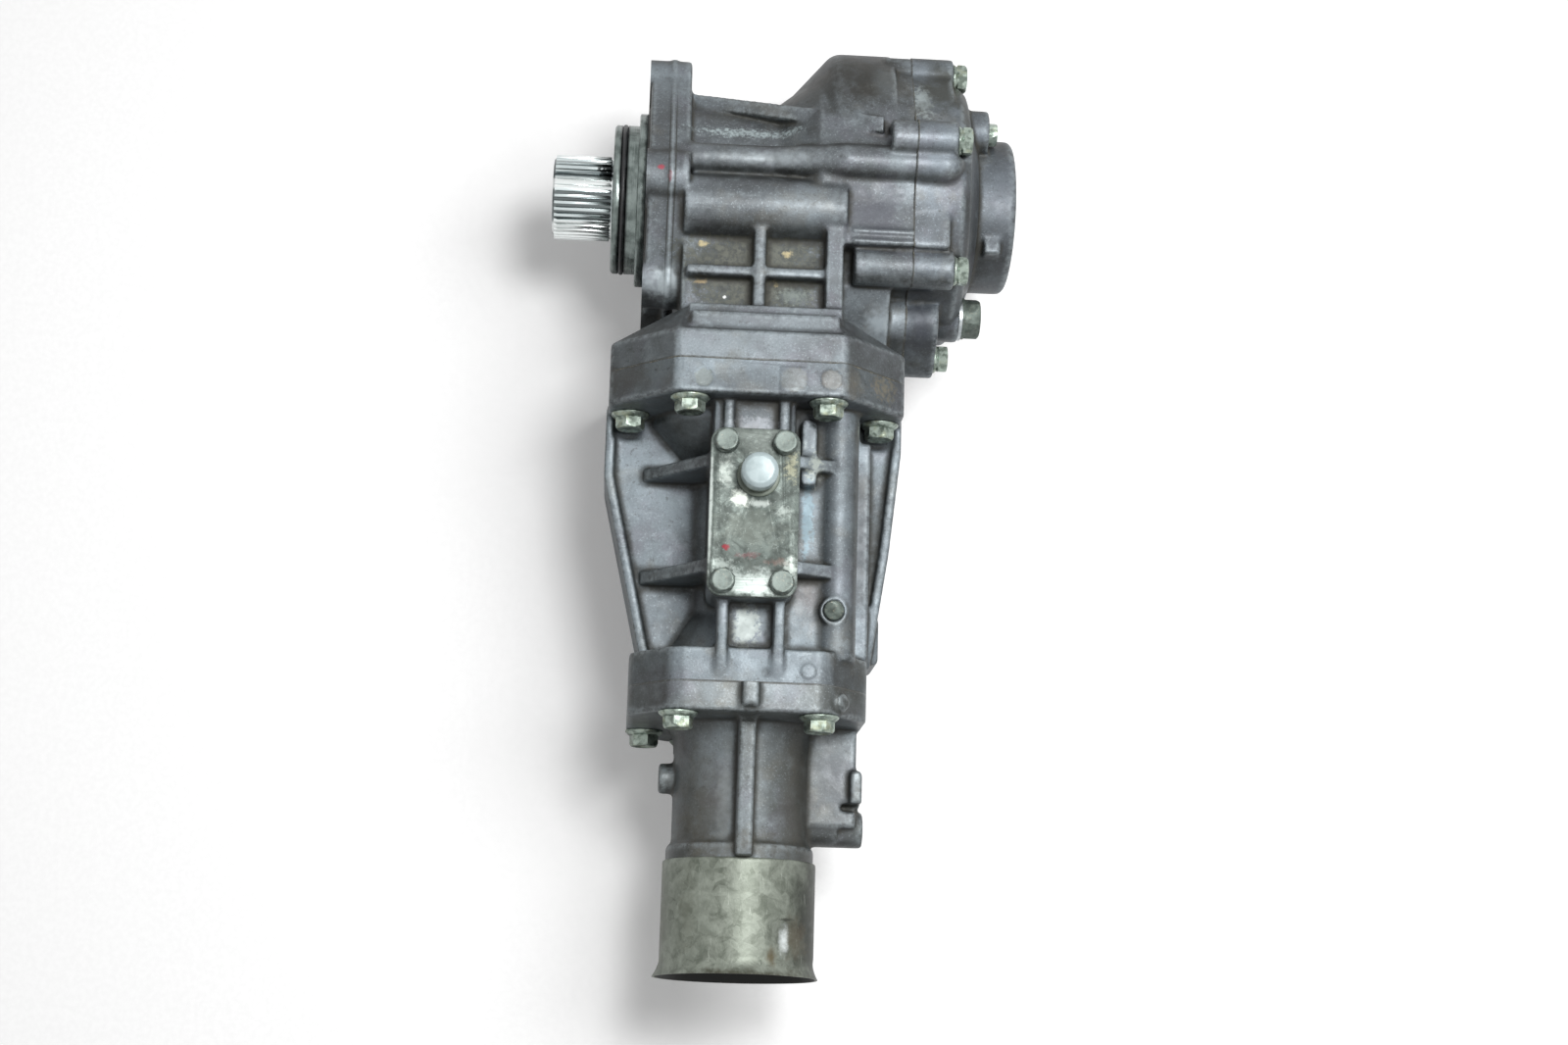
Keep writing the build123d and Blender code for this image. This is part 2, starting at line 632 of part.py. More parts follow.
def main_case():
    """Main casting."""
    body = flange_plate()[0].fuse(*flange_plate()[1:], *ring_housing(), *case_front(), *case_tail())
    holes = [rod(INPUT, y, z, -1, FLANGE_T + 1, LUG_HOLE_R) for y, z in FLANGE_LUGS]
    holes += [rod(INPUT, y, z, COVER_X - 16, COVER_X + 1, M8[0] + FIT) for y, z in COVER_BOLTS]
    holes += [rod(OUTPUT, x, z, CASE_END - 13, CASE_END + 1, M8[0] + FIT) for x, z in oct_places()]
    holes += [rod(OUTPUT, x, z, CASE_END - 6, CASE_END + 1, 4.0 + FIT) for x, z in dowel_places()]
    holes.append(rod(DOWNWARD, 0, FILL_Y, 40, 70, FILL_R + FIT))
    pilot_seat = rod(INPUT, 0, 0, -1, PILOT_SEAT, PILOT_STEP_R + PILOT_SEAT_PLAY)
    below = block(-1, FLANGE_T + 1, -80, 80, -90, -OCT_H)
    return body.cut(*case_cavity(), *holes, pilot_seat, below)


def oct_places():
    """Bolt places on the octagon joint."""
    return [(sx * x, sz * z) for x, z in (OCT_FRONT_BOLT, OCT_SIDE_BOLT) for sx in (-1, 1)
            for sz in (1, -1)]


def dowel_places():
    """Dowel places on the octagon joint."""
    return [(-46.0, -52.0), (46.0, 52.0)]



def side_cover():
    """Cover that carries the right-hand input bearing and seal."""
    body = turned(INPUT, [(COVER_X, 0), (COVER_X, HOUSING_R + 1.5), (COVER_SEAT + 3, HOUSING_R + 0.5),
                          (COVER_SEAT + 7, 59),
                          (153, 51), (157, 40), (157.5, BOSS_R), (BOSS_END - 2, BOSS_R),
                          (BOSS_END, BOSS_R - 2),
                          (BOSS_END, 0)])
    flange = prism(INPUT, cover_outline(HOUSING_R, COVER_LOBE_R), COVER_X, COVER_SEAT - 8)
    crown = rod(INPUT, CROWN_Y, 0, COVER_X, COVER_SEAT - 0.5, COVER_CROWN_R)
    lobes = [rod(INPUT, y, z, COVER_X, seat, COVER_LOBE_R)
             for (y, z), seat in zip(COVER_BOLTS, COVER_SEATS)]
    low_y, low_z = LOW_BOLT
    low = web((low_y + 14, low_z + 9, 14.5), (low_y, low_z, COVER_LOBE_R + 0.4))
    spigot = rod(INPUT, 0, 0, COVER_X - COVER_SPIGOT, COVER_X, CAVITY_R - 0.1)
    nest = rod(INPUT, 0, 0, RIGHT_BEARING_X - 2, COVER_X, BEARING_R + 7)
    dome = rod(INPUT, *GALLERY_HIGH[:2], COVER_X, DOME_X, DOME_R)
    dome += INPUT.location * Pos(*GALLERY_HIGH[:2], DOME_X) * Sphere(DOME_R)
    lug = rod(INPUT, *COVER_LUG, COVER_SEAT - 4, COVER_LUG_END, COVER_LUG_R)
    plug_boss = rod(INPUT, *DRAIN, COVER_X, DRAIN_SEAT, 11.5)
    pad = INPUT.location * Pos(-25, 27, 165) * Box(8, 8, 8)
    panel = block(COVER_X, 141, -38, -6, 40, 60.6, 1.5)
    body = body.fuse(flange, crown, *lobes, prism(INPUT, low, COVER_X, COVER_SEATS[3]), spigot, nest, dome,
                     lug,
                     plug_boss, pad, panel)
    inside = turned(INPUT, [(COVER_X - COVER_SPIGOT - 1, BEARING_R + 7),
                            (COVER_X - COVER_SPIGOT - 1, CAVITY_R - 6),
                            (COVER_X + 7, CAVITY_R - 6), (COVER_X + 9, BEARING_R + 7)])
    seat_end = RIGHT_BEARING_X + BEARING_T
    bore = turned(INPUT, [(RIGHT_BEARING_X - 3, 0), (RIGHT_BEARING_X - 3, BEARING_R), (seat_end, BEARING_R),
                          (seat_end, 32), (seat_end + 6, 32), (seat_end + 9, 24), (SIDE_SEAL_X, 24),
                          (SIDE_SEAL_X, SIDE_SEAL_R), (BOSS_END - 1, SIDE_SEAL_R),
                          (BOSS_END + 1, SIDE_SEAL_R + 2),
                          (BOSS_END + 1, 0)])
    holes = [rod(INPUT, y, z, COVER_X - 1, COVER_SEAT + 1, M8[0] + BOLT_PLAY) for y, z in COVER_BOLTS]
    holes.append(rod(INPUT, *DRAIN, COVER_X - 6, DRAIN_SEAT + 1, FILL_R + FIT))
    holes += [rod(INPUT, y, z, seat, seat + 14, M8_PLAIN[3] + 0.6)
              for (y, z), seat in zip(COVER_BOLTS, COVER_SEATS)]
    holes.append(rod(INPUT, *DRAIN, DRAIN_SEAT, DRAIN_SEAT + 14, 12))
    holes.append(rod(INPUT, *COVER_LUG, COVER_LUG_END - 10, COVER_LUG_END + 1, M6[0] + FIT))
    groove = tube(INPUT, COVER_X - 3.6, COVER_X - 1.2, CAVITY_R, CAVITY_R - 2.0)
    return body.cut(inside, bore, groove, *holes)



def adapter_housing():
    """Adapter casting between the octagon joint and the extension."""
    joint = prism(OUTPUT, octagon(OCT_W, OCT_H, OCT_FLAT_X, OCT_FLAT_Z, 3), CASE_END, ADAPTER_FLANGE)
    foot = prism(OUTPUT, octagon(SMALL_W, SMALL_H, 34, 34, 12), SMALL_START, JOINT_Y)
    shell = turned(OUTPUT, [(ADAPTER_FLANGE - 2, 0), (ADAPTER_FLANGE - 2, ADAPTER_TOP_R),
                            (ADAPTER_FLANGE + 4, ADAPTER_TOP_R - 1), (142, ADAPTER_NECK_R),
                            (206, ADAPTER_NECK_R),
                            (SMALL_START + 2, ADAPTER_FOOT_R), (SMALL_START + 2, 0)])
    pieces = [foot, shell] + adapter_wings() + adapter_ribs() + adapter_front()
    body = joint.fuse(*pieces)
    hollow = turned(OUTPUT, [(CASE_END - 1, 0), (CASE_END - 1, ADAPTER_TOP_R - ADAPTER_WALL),
                             (ADAPTER_FLANGE, ADAPTER_TOP_R - ADAPTER_WALL),
                             (142, ADAPTER_NECK_R - ADAPTER_WALL),
                             (SMALL_START - 4, ADAPTER_NECK_R - ADAPTER_WALL), (SMALL_START - 4, 0)])
    sides = wing_outline(ADAPTER_WALL + 1)
    sides = Pos(0, 0, -WEB_HALF_T + ADAPTER_WALL) * extrude(sides, 2 * (WEB_HALF_T - ADAPTER_WALL))
    sides &= block(0, 110, -SMALL_START + 8, -ADAPTER_FLANGE - 6, -20, 20)
    bore = rod(OUTPUT, 0, 0, BALL_BEARING - 10, JOINT_Y + 1, 27)
    seat = rod(OUTPUT, 0, 0, BALL_BEARING, JOINT_Y + 1, PINION_RACE_R)
    window = block(OUT_X + PLATE_X - PLATE_WINDOW_X, OUT_X + PLATE_X + PLATE_WINDOW_X,
                   -PLATE_Y - PLATE_WINDOW_Y, -PLATE_Y + PLATE_WINDOW_Y, 30,
                   PLATE_Z + 1, 4)
    holes = [rod(OUTPUT, x, z, CASE_END - 1, ADAPTER_FLANGE + 1, M8[0] + BOLT_PLAY)
             for x, z in oct_places()]
    holes += [rod(OUTPUT, x, z, CASE_END - 1, CASE_END + 6, 4.0 + FIT) for x, z in dowel_places()]
    holes += [rod(OUTPUT, x, z, JOINT_Y - 14, JOINT_Y + 1, M8[0] + FIT) for x, z in SMALL_BOLTS]
    holes += [rod(UPWARD, x, y, PLATE_Z - 12, PLATE_Z + 1, M6[0] + FIT) for x, y in plate_places()]
    holes.append(rod(UPWARD, GALLERY_PLUG_X, -GALLERY_PLUG_Y, GALLERY_Z, 60, 4.5 + FIT))
    spots = [rod(OUTPUT, x, z, ADAPTER_FLANGE, ADAPTER_FLANGE + 10, M8[3] + 0.6) for x, z in oct_places()]
    return body.cut(hollow, sides, bore, seat, window, *holes, *spots)


def wing_outline(inset=0.0):
    """Plan of the two side wings, seen from above."""
    face = make_face(Polyline([
        (-WING_TOP, -ADAPTER_FLANGE + 4), (-WING_TOP, -WING_KNEE), (-WING_FOOT, -SMALL_START - 2),
        (WING_FOOT + 7, -SMALL_START - 2), (WING_TOP - 5, -175), (WING_TOP, -WING_KNEE + 16),
        (WING_TOP, -ADAPTER_FLANGE + 4)], close=True))
    return Pos(OUT_X, 0) * (offset(face, -inset) if inset else face)


def adapter_wings():
    """Wings with a raised rim, standing out on both sides of the shell."""
    web_plate = Pos(0, 0, -WEB_HALF_T) * extrude(wing_outline(), 2 * WEB_HALF_T)
    ring = wing_outline() - wing_outline(RIM_W)
    rims = Pos(0, 0, -RIM_HALF_T) * extrude(ring, 2 * RIM_HALF_T)
    return [web_plate, rims]


def adapter_ribs():
    """Cross ribs and the two long ribs below the plate."""
    ribs = []
    for back in (-1, 1):
        for y, reach in CROSS_RIBS:
            rib = make_face(Polyline([(-reach, 23), (-reach + 3, 26), (-21, 60), (21, 60), (38, 52),
                                      (40, 8),
                                      (-reach, 8)], close=True))
            plane = Plane(origin=(OUT_X, y + RIB_T / 2, 0), x_dir=(1, 0, 0), z_dir=(0, -1, 0))
            shape = plane.location * extrude(rib, RIB_T)
            ribs.append(shape if back > 0 else mirror(shape, Plane.XY))
    long_ribs = []
    for x in LONG_RIBS:
        side = make_face(Polyline([(ADAPTER_FLANGE - 2, 40), (ADAPTER_FLANGE - 2, 63), (216, 62.5),
                                   (JOINT_Y - 2, SMALL_H + 0.2), (JOINT_Y - 2, 40)], close=True))
        plane = Plane(origin=(OUT_X + x - LONG_RIB_W / 2, 0, 0), x_dir=(0, -1, 0), z_dir=(-1, 0, 0))
        front = plane.location * extrude(side, -LONG_RIB_W)
        long_ribs += [front, mirror(front, Plane.XY)]
    return ribs + long_ribs


def adapter_front():
    """Plate pad, its column, the gallery column and its plug boss."""
    left, right = OUT_X + PLATE_X - PLATE_W / 2, OUT_X + PLATE_X + PLATE_W / 2
    pad = block(left + 0.6, right - 0.6, -PLATE_Y - PLATE_L / 2 + 0.6, -PLATE_Y + PLATE_L / 2 - 0.6, 38,
                PLATE_Z, 6)
    neck = block(left + 1.5, right - 1.5, -PLATE_Y - PLATE_L / 2 + 3, -ADAPTER_FLANGE + 2, -48, 60, 4)
    deck = block(OUT_X + 12, OUT_X + GALLERY_X + 6, -SMALL_START - 2, -ADAPTER_FLANGE + 2, -38, DECK_Z, 3)
    floor = block(OUT_X + LONG_RIBS[0], OUT_X + LONG_RIBS[1], -SMALL_START - 2, -206, 38, 53.5, 2)
    right_deck = block(OUT_X + GALLERY_X, OUT_X + 54, -SMALL_START - 2, -ADAPTER_FLANGE + 2, -30, 32, 3)
    foot_block = block(100, 115.5, -SMALL_START + 1, -204, -17, 17, 2)
    gallery = rod(OUTPUT, GALLERY_X, GALLERY_Z, ADAPTER_FLANGE - 2, SMALL_START + 3, GALLERY_R)
    plug_boss = rod(UPWARD, GALLERY_PLUG_X, -GALLERY_PLUG_Y, GALLERY_Z, GALLERY_Z + 10, 6.4)
    rough = block(OUT_X + 20, OUT_X + 27, -152, -121, 40, 57, 2)
    return [pad, neck, deck, floor, right_deck, foot_block, gallery, plug_boss, rough]


def plate_places():
    """Bolt places of the access plate."""
    return [(PLATE_X + sx * PLATE_BOLT_X, -PLATE_Y + sy * PLATE_BOLT_Y) for sx in (-1, 1) for sy in (1, -1)]


def extension_housing():
    """Tail casting with its centre rib, side button and bracket."""
    flange = prism(OUTPUT, octagon(SMALL_W, SMALL_H, 34, 34, 12), JOINT_Y, SMALL_END)
    barrel = turned(OUTPUT, [(SMALL_END - 2, 0), (SMALL_END - 2, TUBE_R + 5), (SMALL_END + 4, TUBE_R + 1.2),
                             (SMALL_END + 14, TUBE_R), (COLLAR_START - 2, TUBE_R), (COLLAR_START, COLLAR_R),
                             (TUBE_END, COLLAR_R), (TUBE_END, 0)])
    top = SMALL_H + TAIL_RIB_H
    rib = make_face(Polyline([(JOINT_Y, 20), (JOINT_Y, top), (SMALL_END - 3, top), (SMALL_END + 3, 46),
                              (COLLAR_START - 1, 41), (GUARD_START - 0.5, 40), (GUARD_START - 0.5, 20)],
                             close=True))
    plane = Plane(origin=(OUT_X - TAIL_RIB_W / 2, 0, 0), x_dir=(0, -1, 0), z_dir=(-1, 0, 0))
    front = plane.location * extrude(rib, -TAIL_RIB_W)
    back = mirror(front, Plane.XY)
    button = Pos(OUT_X - TUBE_R - 0.8, -279.6, 0) * Rot(0, 90, 0) * Cylinder(7.0, 12)
    knob = Pos(OUT_X + 40.5, -249.0, 50.0) * Rot(0, 50, 0) * Cylinder(4.0, 5)
    slab = block(OUT_X, BRACKET_END, -EXT_BOSS_Y, -SMALL_END + 1, -13, 11, 0)
    boss_start = OUT_X + 24
    boss = Pos((boss_start + EXT_BOSS_END) / 2, -EXT_BOSS_Y, -1) * Rot(0, 90, 0)
    boss *= Cylinder(EXT_BOSS_R, EXT_BOSS_END - boss_start)
    foot = Pos((boss_start + BRACKET_END) / 2 - 4, -EXT_BOSS_Y + 3.5, -1) * Rot(0, 90, 0)
    foot *= Cylinder(BRACKET_FOOT_R, BRACKET_END - boss_start - 8)
    prong = block(BRACKET_END - 3, EXT_BOSS_END - 1.5, -EXT_BOSS_Y + 9, -EXT_BOSS_Y + 26, -9, 14.5, 1.8)
    body = flange.fuse(barrel, front, back, button, knob, slab, boss, foot, prong)
    notch = block(BRACKET_END - 7, BRACKET_END + 6, -EXT_BOSS_Y + 7.5, -EXT_BOSS_Y + 11, 5, 16, 1.2)
    bore = turned(OUTPUT, [(JOINT_Y - 1, 0), (JOINT_Y - 1, PINION_RACE_R), (JOINT_Y + 6, PINION_RACE_R - 2),
                           (JOINT_Y + 14, TUBE_BORE_R), (BUSHING[0], TUBE_BORE_R), (BUSHING[0], BUSHING_R),
                           (BUSHING[1], BUSHING_R), (BUSHING[1], OUT_SEAL_R), (TUBE_END + 1, OUT_SEAL_R),
                           (TUBE_END + 1, 0)])
    tapped = Pos(OUT_X + TUBE_R + 17, -EXT_BOSS_Y, -1) * Rot(0, 90, 0) * Cylinder(4.25, 22)
    holes = [rod(OUTPUT, x, z, JOINT_Y - 1, SMALL_END + 1, M8[0] + BOLT_PLAY) for x, z in SMALL_BOLTS]
    spots = [rod(OUTPUT, x, z, SMALL_END, SMALL_END + 12, M8[3] + 0.6) for x, z in SMALL_BOLTS]
    return body.cut(notch, bore, tapped, *holes, *spots)


def dust_guard():
    """Sheet sleeve pressed on the tail, flared at its open end."""
    inner = COLLAR_R + FIT
    outer = inner + GUARD_WALL
    lip = GUARD_END - 8
    return turned(OUTPUT, [(GUARD_START, inner), (lip, inner), (GUARD_END, inner + GUARD_FLARE),
                           (GUARD_END, outer + GUARD_FLARE), (lip, outer), (GUARD_START + 1.5, outer),
                           (GUARD_START, outer - 0.6)])


# Shafts, rings, seals and plugs


def input_shaft():
    """Hollow splined shaft with the ring gear's flange."""
    seat_end = LEFT_BEARING_X + BEARING_T
    solid = turned(INPUT, [
        (SHAFT_START, HALFSHAFT_R), (SHAFT_START, SPLINE_ROOT_R - 1), (SHAFT_START + 1, SPLINE_ROOT_R),
        (SPLINE_END, SPLINE_ROOT_R), (SPLINE_END + 1, SEAL_JOURNAL_R), (LEFT_BEARING_X - 1, SEAL_JOURNAL_R),
        (LEFT_BEARING_X, BEARING_BORE_R), (seat_end, BEARING_BORE_R), (seat_end, SHAFT_BODY_R),
        (68, SHAFT_BODY_R), (74, RING_SEAT_R), (RING_BACK, RING_SEAT_R), (RING_BACK, RING_FLANGE_R),
        (RING_BACK + RING_FLANGE, RING_FLANGE_R), (RING_BACK + RING_FLANGE, SHAFT_BODY_R + 2),
        (RIGHT_BEARING_X, SHAFT_BODY_R), (RIGHT_BEARING_X, BEARING_BORE_R),
        (SHAFT_STOP - 1, BEARING_BORE_R), (SHAFT_STOP, BEARING_BORE_R - 1), (SHAFT_STOP, HALFSHAFT_R)])
    teeth = splined(INPUT, SHAFT_START + 1, SPLINE_END, SPLINE_TEETH, SPLINE_TIP_R, SPLINE_ROOT_R - 0.2)
    teeth -= rod(INPUT, 0, 0, SHAFT_START, SPLINE_END + 1, SPLINE_ROOT_R - 2)
    holes = [rod(INPUT, x, y, RING_BACK - 1, RING_BACK + RING_FLANGE + 1, 4 + BOLT_PLAY)
             for x, y in ring_bolt_places()]
    return solid.fuse(teeth).cut(*holes)


def pilot_ring():
    """Spigot ring with its O-ring groove and the input seal's seat."""
    groove = O_RING_X - O_RING_WIRE - 0.1, O_RING_X + O_RING_WIRE + 0.1
    floor = PILOT_R - 2 * O_RING_WIRE + 0.35
    return turned(INPUT, [
        (PILOT_START, 27), (PILOT_START, PILOT_R - 1), (PILOT_START + 1, PILOT_R), (groove[0], PILOT_R),
        (groove[0], floor), (groove[1], floor), (groove[1], PILOT_R), (-PILOT_STEP, PILOT_R),
        (-PILOT_STEP, PILOT_STEP_R - 0.6), (-PILOT_STEP + 0.6, PILOT_STEP_R), (0, PILOT_STEP_R),
        (0, PILOT_STEP_R - PILOT_RELIEF), (PILOT_SEAT, PILOT_STEP_R - PILOT_RELIEF),
        (PILOT_SEAT, BEARING_R - FIT), (PILOT_DEPTH, BEARING_R - FIT), (PILOT_DEPTH, 33), (-3, 33 - 4),
        (-3, 27)])


def seal(plane, start, thick, outer, inner):
    """Lip seal: cased ring with a thin lip towards the shaft."""
    return turned(plane, [(start, inner + 3), (start + thick * 0.35, inner + 1.2),
                          (start + thick * 0.5, inner),
                          (start + thick * 0.65, inner + 1.2), (start + thick, inner + 3),
                          (start + thick, outer), (start, outer)])


def o_ring(x, radius, wire):
    """Rubber ring on the input line."""
    return INPUT.location * Pos(0, 0, x) * Torus(radius, wire)


def output_shaft():
    """Shaft from the coupling to the slip spline."""
    front = PINION_END + 2
    solid = turned(OUTPUT, [
        (front, 0), (front, 11), (COUPLING_END, 11), (COUPLING_END + 2, 14), (205, 14), (208, 19),
        (BALL_BEARING, 19), (BALL_BEARING, PINION_BORE_R), (BALL_BEARING + BALL_T + 0.2, PINION_BORE_R),
        (BALL_BEARING + BALL_T + 0.2, 14.2), (BALL_BEARING + BALL_T + 2.2, 14.2),
        (BALL_BEARING + BALL_T + 2.2, PINION_BORE_R), (OUT_SPLINE_START - 6, PINION_BORE_R),
        (OUT_SPLINE_START, OUT_SPLINE_ROOT_R), (OUT_END - 1, OUT_SPLINE_ROOT_R),
        (OUT_END, OUT_SPLINE_ROOT_R - 1),
        (OUT_END, 0)])
    near = splined(OUTPUT, front + 1, COUPLING_END - 1, 22, PINION_SPLINE_R, 11.5)
    far = splined(OUTPUT, OUT_SPLINE_START + 1, OUT_END - 1.5, OUT_SPLINE_TEETH, OUT_SPLINE_R,
                  OUT_SPLINE_ROOT_R + 0.1)
    return solid.fuse(near, far)


def coupling_sleeve():
    """Sleeve that joins the pinion shaft to the output shaft."""
    start, end = COUPLING_START, COUPLING_END
    bore = PINION_SPLINE_R + FIT
    return turned(OUTPUT, [(start, bore + 1), (start + 1, bore), (end - 1, bore), (end, bore + 1),
                           (end, COUPLING_R - 1.5), (end - 1.5, COUPLING_R), (start + 1.5, COUPLING_R),
                           (start, COUPLING_R - 1.5)])


def lock_nut():
    """Slotted round nut that sets the pinion bearings."""
    start = NUT_START
    nut = tube(OUTPUT, start, start + NUT_T, NUT_R, 14.0 + FIT)
    slots = [OUTPUT.location * Pos(0, 0, start + NUT_T) * Rot(0, 0, 90 * i) * Pos(22.5, 0, 0) * Box(6, 5, 6)
             for i in range(4)]
    return nut.cut(*slots)


def circlip():
    """Ring that holds the ball bearing on the output shaft."""
    start = BALL_BEARING + BALL_T + 0.3
    ring = tube(OUTPUT, start, start + 1.7, 18.5, 14.2 + FIT)
    return ring - OUTPUT.location * Pos(16.5, 0, start + 0.8) * Box(9, 6, 4)


def plug(plane, x, y, seat):
    """Hexagon-headed screw plug."""
    flats, head = PLUG_FLATS, PLUG_HEAD
    hexagon = extrude(RegularPolygon(flats / 2, 6, major_radius=False), head)
    dome = Cone(flats * 0.56 + head, flats * 0.5, head, align=(Align.CENTER, Align.CENTER, Align.MIN))
    body = Pos(0, 0, -PLUG_DEPTH / 2) * Cylinder(FILL_R, PLUG_DEPTH)
    washer = Pos(0, 0, 0.8) * Cylinder(flats * 0.58, 1.6)
    return plane.location * Pos(x, y, seat) * ((hexagon & dome) + body + washer)


def breather_cap():
    """Vent cap on its stem through the access plate."""
    base = PLATE_Z + GASKET_T + PLATE_T
    points = [(base, 0), (base, 9.6), (base + 1.2, 9.6), (base + 1.2, 6.4), (base + 3.4, 6.4),
              (base + 3.4, CAP_R),
              (base + CAP_H - 1.6, CAP_R), (base + CAP_H, CAP_R - 1.8), (base + CAP_H, 0)]
    plane = Plane(origin=(OUT_X, -CAP_Y, 0), x_dir=(1, 0, 0), z_dir=(0, 0, 1))
    return turned(plane, points) + rod(UPWARD, 0, -CAP_Y, base - 9, base, 3.5)


def access_plate(thick, start, gasket=False):
    """Plate, or its gasket, with rounded corners and four holes."""
    outline = RectangleRounded(PLATE_W, PLATE_L, 6.5)
    sheet = UPWARD.location * Pos(PLATE_X, -PLATE_Y, start) * extrude(outline, thick)
    holes = [rod(UPWARD, x, y, start - 1, start + thick + 1, M6[0] + BOLT_PLAY) for x, y in plate_places()]
    if gasket:
        holes.append(block(OUT_X + PLATE_X - PLATE_WINDOW_X, OUT_X + PLATE_X + PLATE_WINDOW_X,
                           -PLATE_Y - PLATE_WINDOW_Y, -PLATE_Y + PLATE_WINDOW_Y,
                           start - 1, start + thick + 1, 4))
    else:
        holes.append(rod(UPWARD, 0, -CAP_Y, start - 1, start + thick + 1, 3.5 + FIT))
    return sheet.cut(*holes)


def write_castings():
    """Castings, plate and sleeve."""
    save("main_case", main_case())
    save("side_cover", side_cover())
    save("adapter_housing", adapter_housing())
    save("extension_housing", extension_housing())
    save("dust_guard", dust_guard())
    save("access_plate", access_plate(PLATE_T, PLATE_Z + GASKET_T))
    save("plate_gasket", access_plate(GASKET_T, PLATE_Z, gasket=True))


def write_fasteners():
    """Bolts, dowels, plugs and their washers."""
    save("adapter_bolts", bolts(OUTPUT, oct_places(), ADAPTER_FLANGE, M8, 28))
    save("extension_bolts", bolts(OUTPUT, SMALL_BOLTS, SMALL_END, M8, 26))
    cover = [bolts(INPUT, [place], seat, M8_PLAIN, seat - COVER_X + 10)[0]
             for place, seat in zip(COVER_BOLTS, COVER_SEATS)]
    save("cover_bolts", cover)
    save("lug_bolt", bolts(INPUT, [COVER_LUG], COVER_LUG_END, M6, 9))
    save("plate_bolts", bolts(UPWARD, plate_places(), PLATE_Z + GASKET_T + PLATE_T, M6, 14))
    save("ring_gear_bolts", bolts(INPUT, ring_bolt_places(), RING_BACK + RING_FLANGE, M8_PLAIN, 20))
    save("dowel_pins", [rod(OUTPUT, x, z, CASE_END - 5.5, CASE_END + 5.5, 4.0) for x, z in dowel_places()])
    save("drain_plug", plug(INPUT, *DRAIN, DRAIN_SEAT + PLUG_GASKET_T))
    save("drain_gasket", tube_at(INPUT, *DRAIN, DRAIN_SEAT, PLUG_GASKET_T, PLUG_GASKET_R, FILL_R + FIT))
    save("fill_plug", plug(DOWNWARD, 0, FILL_Y, FILL_SEAT + PLUG_GASKET_T))
    save("fill_gasket", tube_at(DOWNWARD, 0, FILL_Y, FILL_SEAT, PLUG_GASKET_T, PLUG_GASKET_R, FILL_R + FIT))
    top = GALLERY_Z + 10
    save("gallery_plug", rod(UPWARD, GALLERY_PLUG_X, -GALLERY_PLUG_Y, GALLERY_Z + 3, top + 1.4, 4.5))
    save("breather_cap", breather_cap())


def tube_at(plane, x, y, start, thick, outer, inner):
    """Flat ring off a frame's axis."""
    return rod(plane, x, y, start, start + thick, outer) - rod(plane, x, y, start - 1, start + thick + 1,
                                                               inner)


def write_seals():
    """Seals, O-rings, pilot ring and bushing."""
    save("pilot_ring", pilot_ring())
    save("pilot_o_ring", o_ring(O_RING_X, PILOT_R - O_RING_WIRE + 0.4, O_RING_WIRE))
    save("cover_o_ring", o_ring(COVER_X - 2.4, CAVITY_R - 1.05, 0.93))
    save("input_seal", seal(INPUT, PILOT_START + 2, 8, 27 - FIT, SEAL_JOURNAL_R + RUN))
    save("side_cover_seal", seal(INPUT, SIDE_SEAL_X, SIDE_SEAL_T, SIDE_SEAL_R - FIT,
                                 HALFSHAFT_JOURNAL_R + RUN))
    save("output_seal", seal(OUTPUT, BUSHING[1] + 1, OUT_SEAL_T, OUT_SEAL_R - FIT, YOKE_R + 0.2))
    save("extension_bushing", tube(OUTPUT, BUSHING[0] + FIT, BUSHING[1], BUSHING_R - FIT, YOKE_R))


def write_gear_train():
    """Shafts, gears, bearings and what holds them."""
    save("input_shaft", input_shaft())
    save("ring_gear", ring_gear())
    save("driven_pinion", driven_pinion())
    save("pinion_spacer", tube(OUTPUT, FRONT_BEARING + PINION_T * 0.94 + FIT,
                               REAR_CUP + PINION_T * 0.06 - FIT, 18.6, PINION_BORE_R + FIT))
    save("pinion_lock_nut", lock_nut())
    save("coupling_sleeve", coupling_sleeve())
    save("output_shaft", output_shaft())
    save("bearing_circlip", circlip())
    left_end = LEFT_BEARING_X + BEARING_T
    Taper(INPUT, left_end, BEARING_BORE_R, BEARING_R, BEARING_T, -1, 3.7, 15).write("input_left_bearing")
    Taper(INPUT, RIGHT_BEARING_X, BEARING_BORE_R, BEARING_R, BEARING_T, 1, 3.7,
          15).write("input_right_bearing")
    Taper(OUTPUT, FRONT_BEARING, PINION_BORE_R, PINION_RACE_R, PINION_T, 1, 3.6,
          13).write("pinion_front_bearing")
    rear_end = REAR_CUP + PINION_T
    Taper(OUTPUT, rear_end, PINION_BORE_R, PINION_RACE_R, PINION_T, -1, 3.6,
          13).write("pinion_rear_bearing")
    outer, inner, balls, cage = ball_bearing()
    save("output_bearing_outer", outer)
    save("output_bearing_inner", inner)
    save("output_bearing_balls", balls)
    save("output_bearing_cage", cage)


write_castings()
write_fasteners()
write_seals()
write_gear_train()
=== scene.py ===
"""Transfer case of an all-wheel-drive car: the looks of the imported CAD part.

Metres, in the frame of the CAD part: X along the input axis, -Y along the output axis, Z up.
Each casting is a voxel skin of its CAD solid, relaxed so that its edges and corners have cast radii.
"""

import json

import bmesh
import bpy
import numpy as np
from math import cos, pi, radians, sin, tan
from mathutils import Matrix, Vector, kdtree

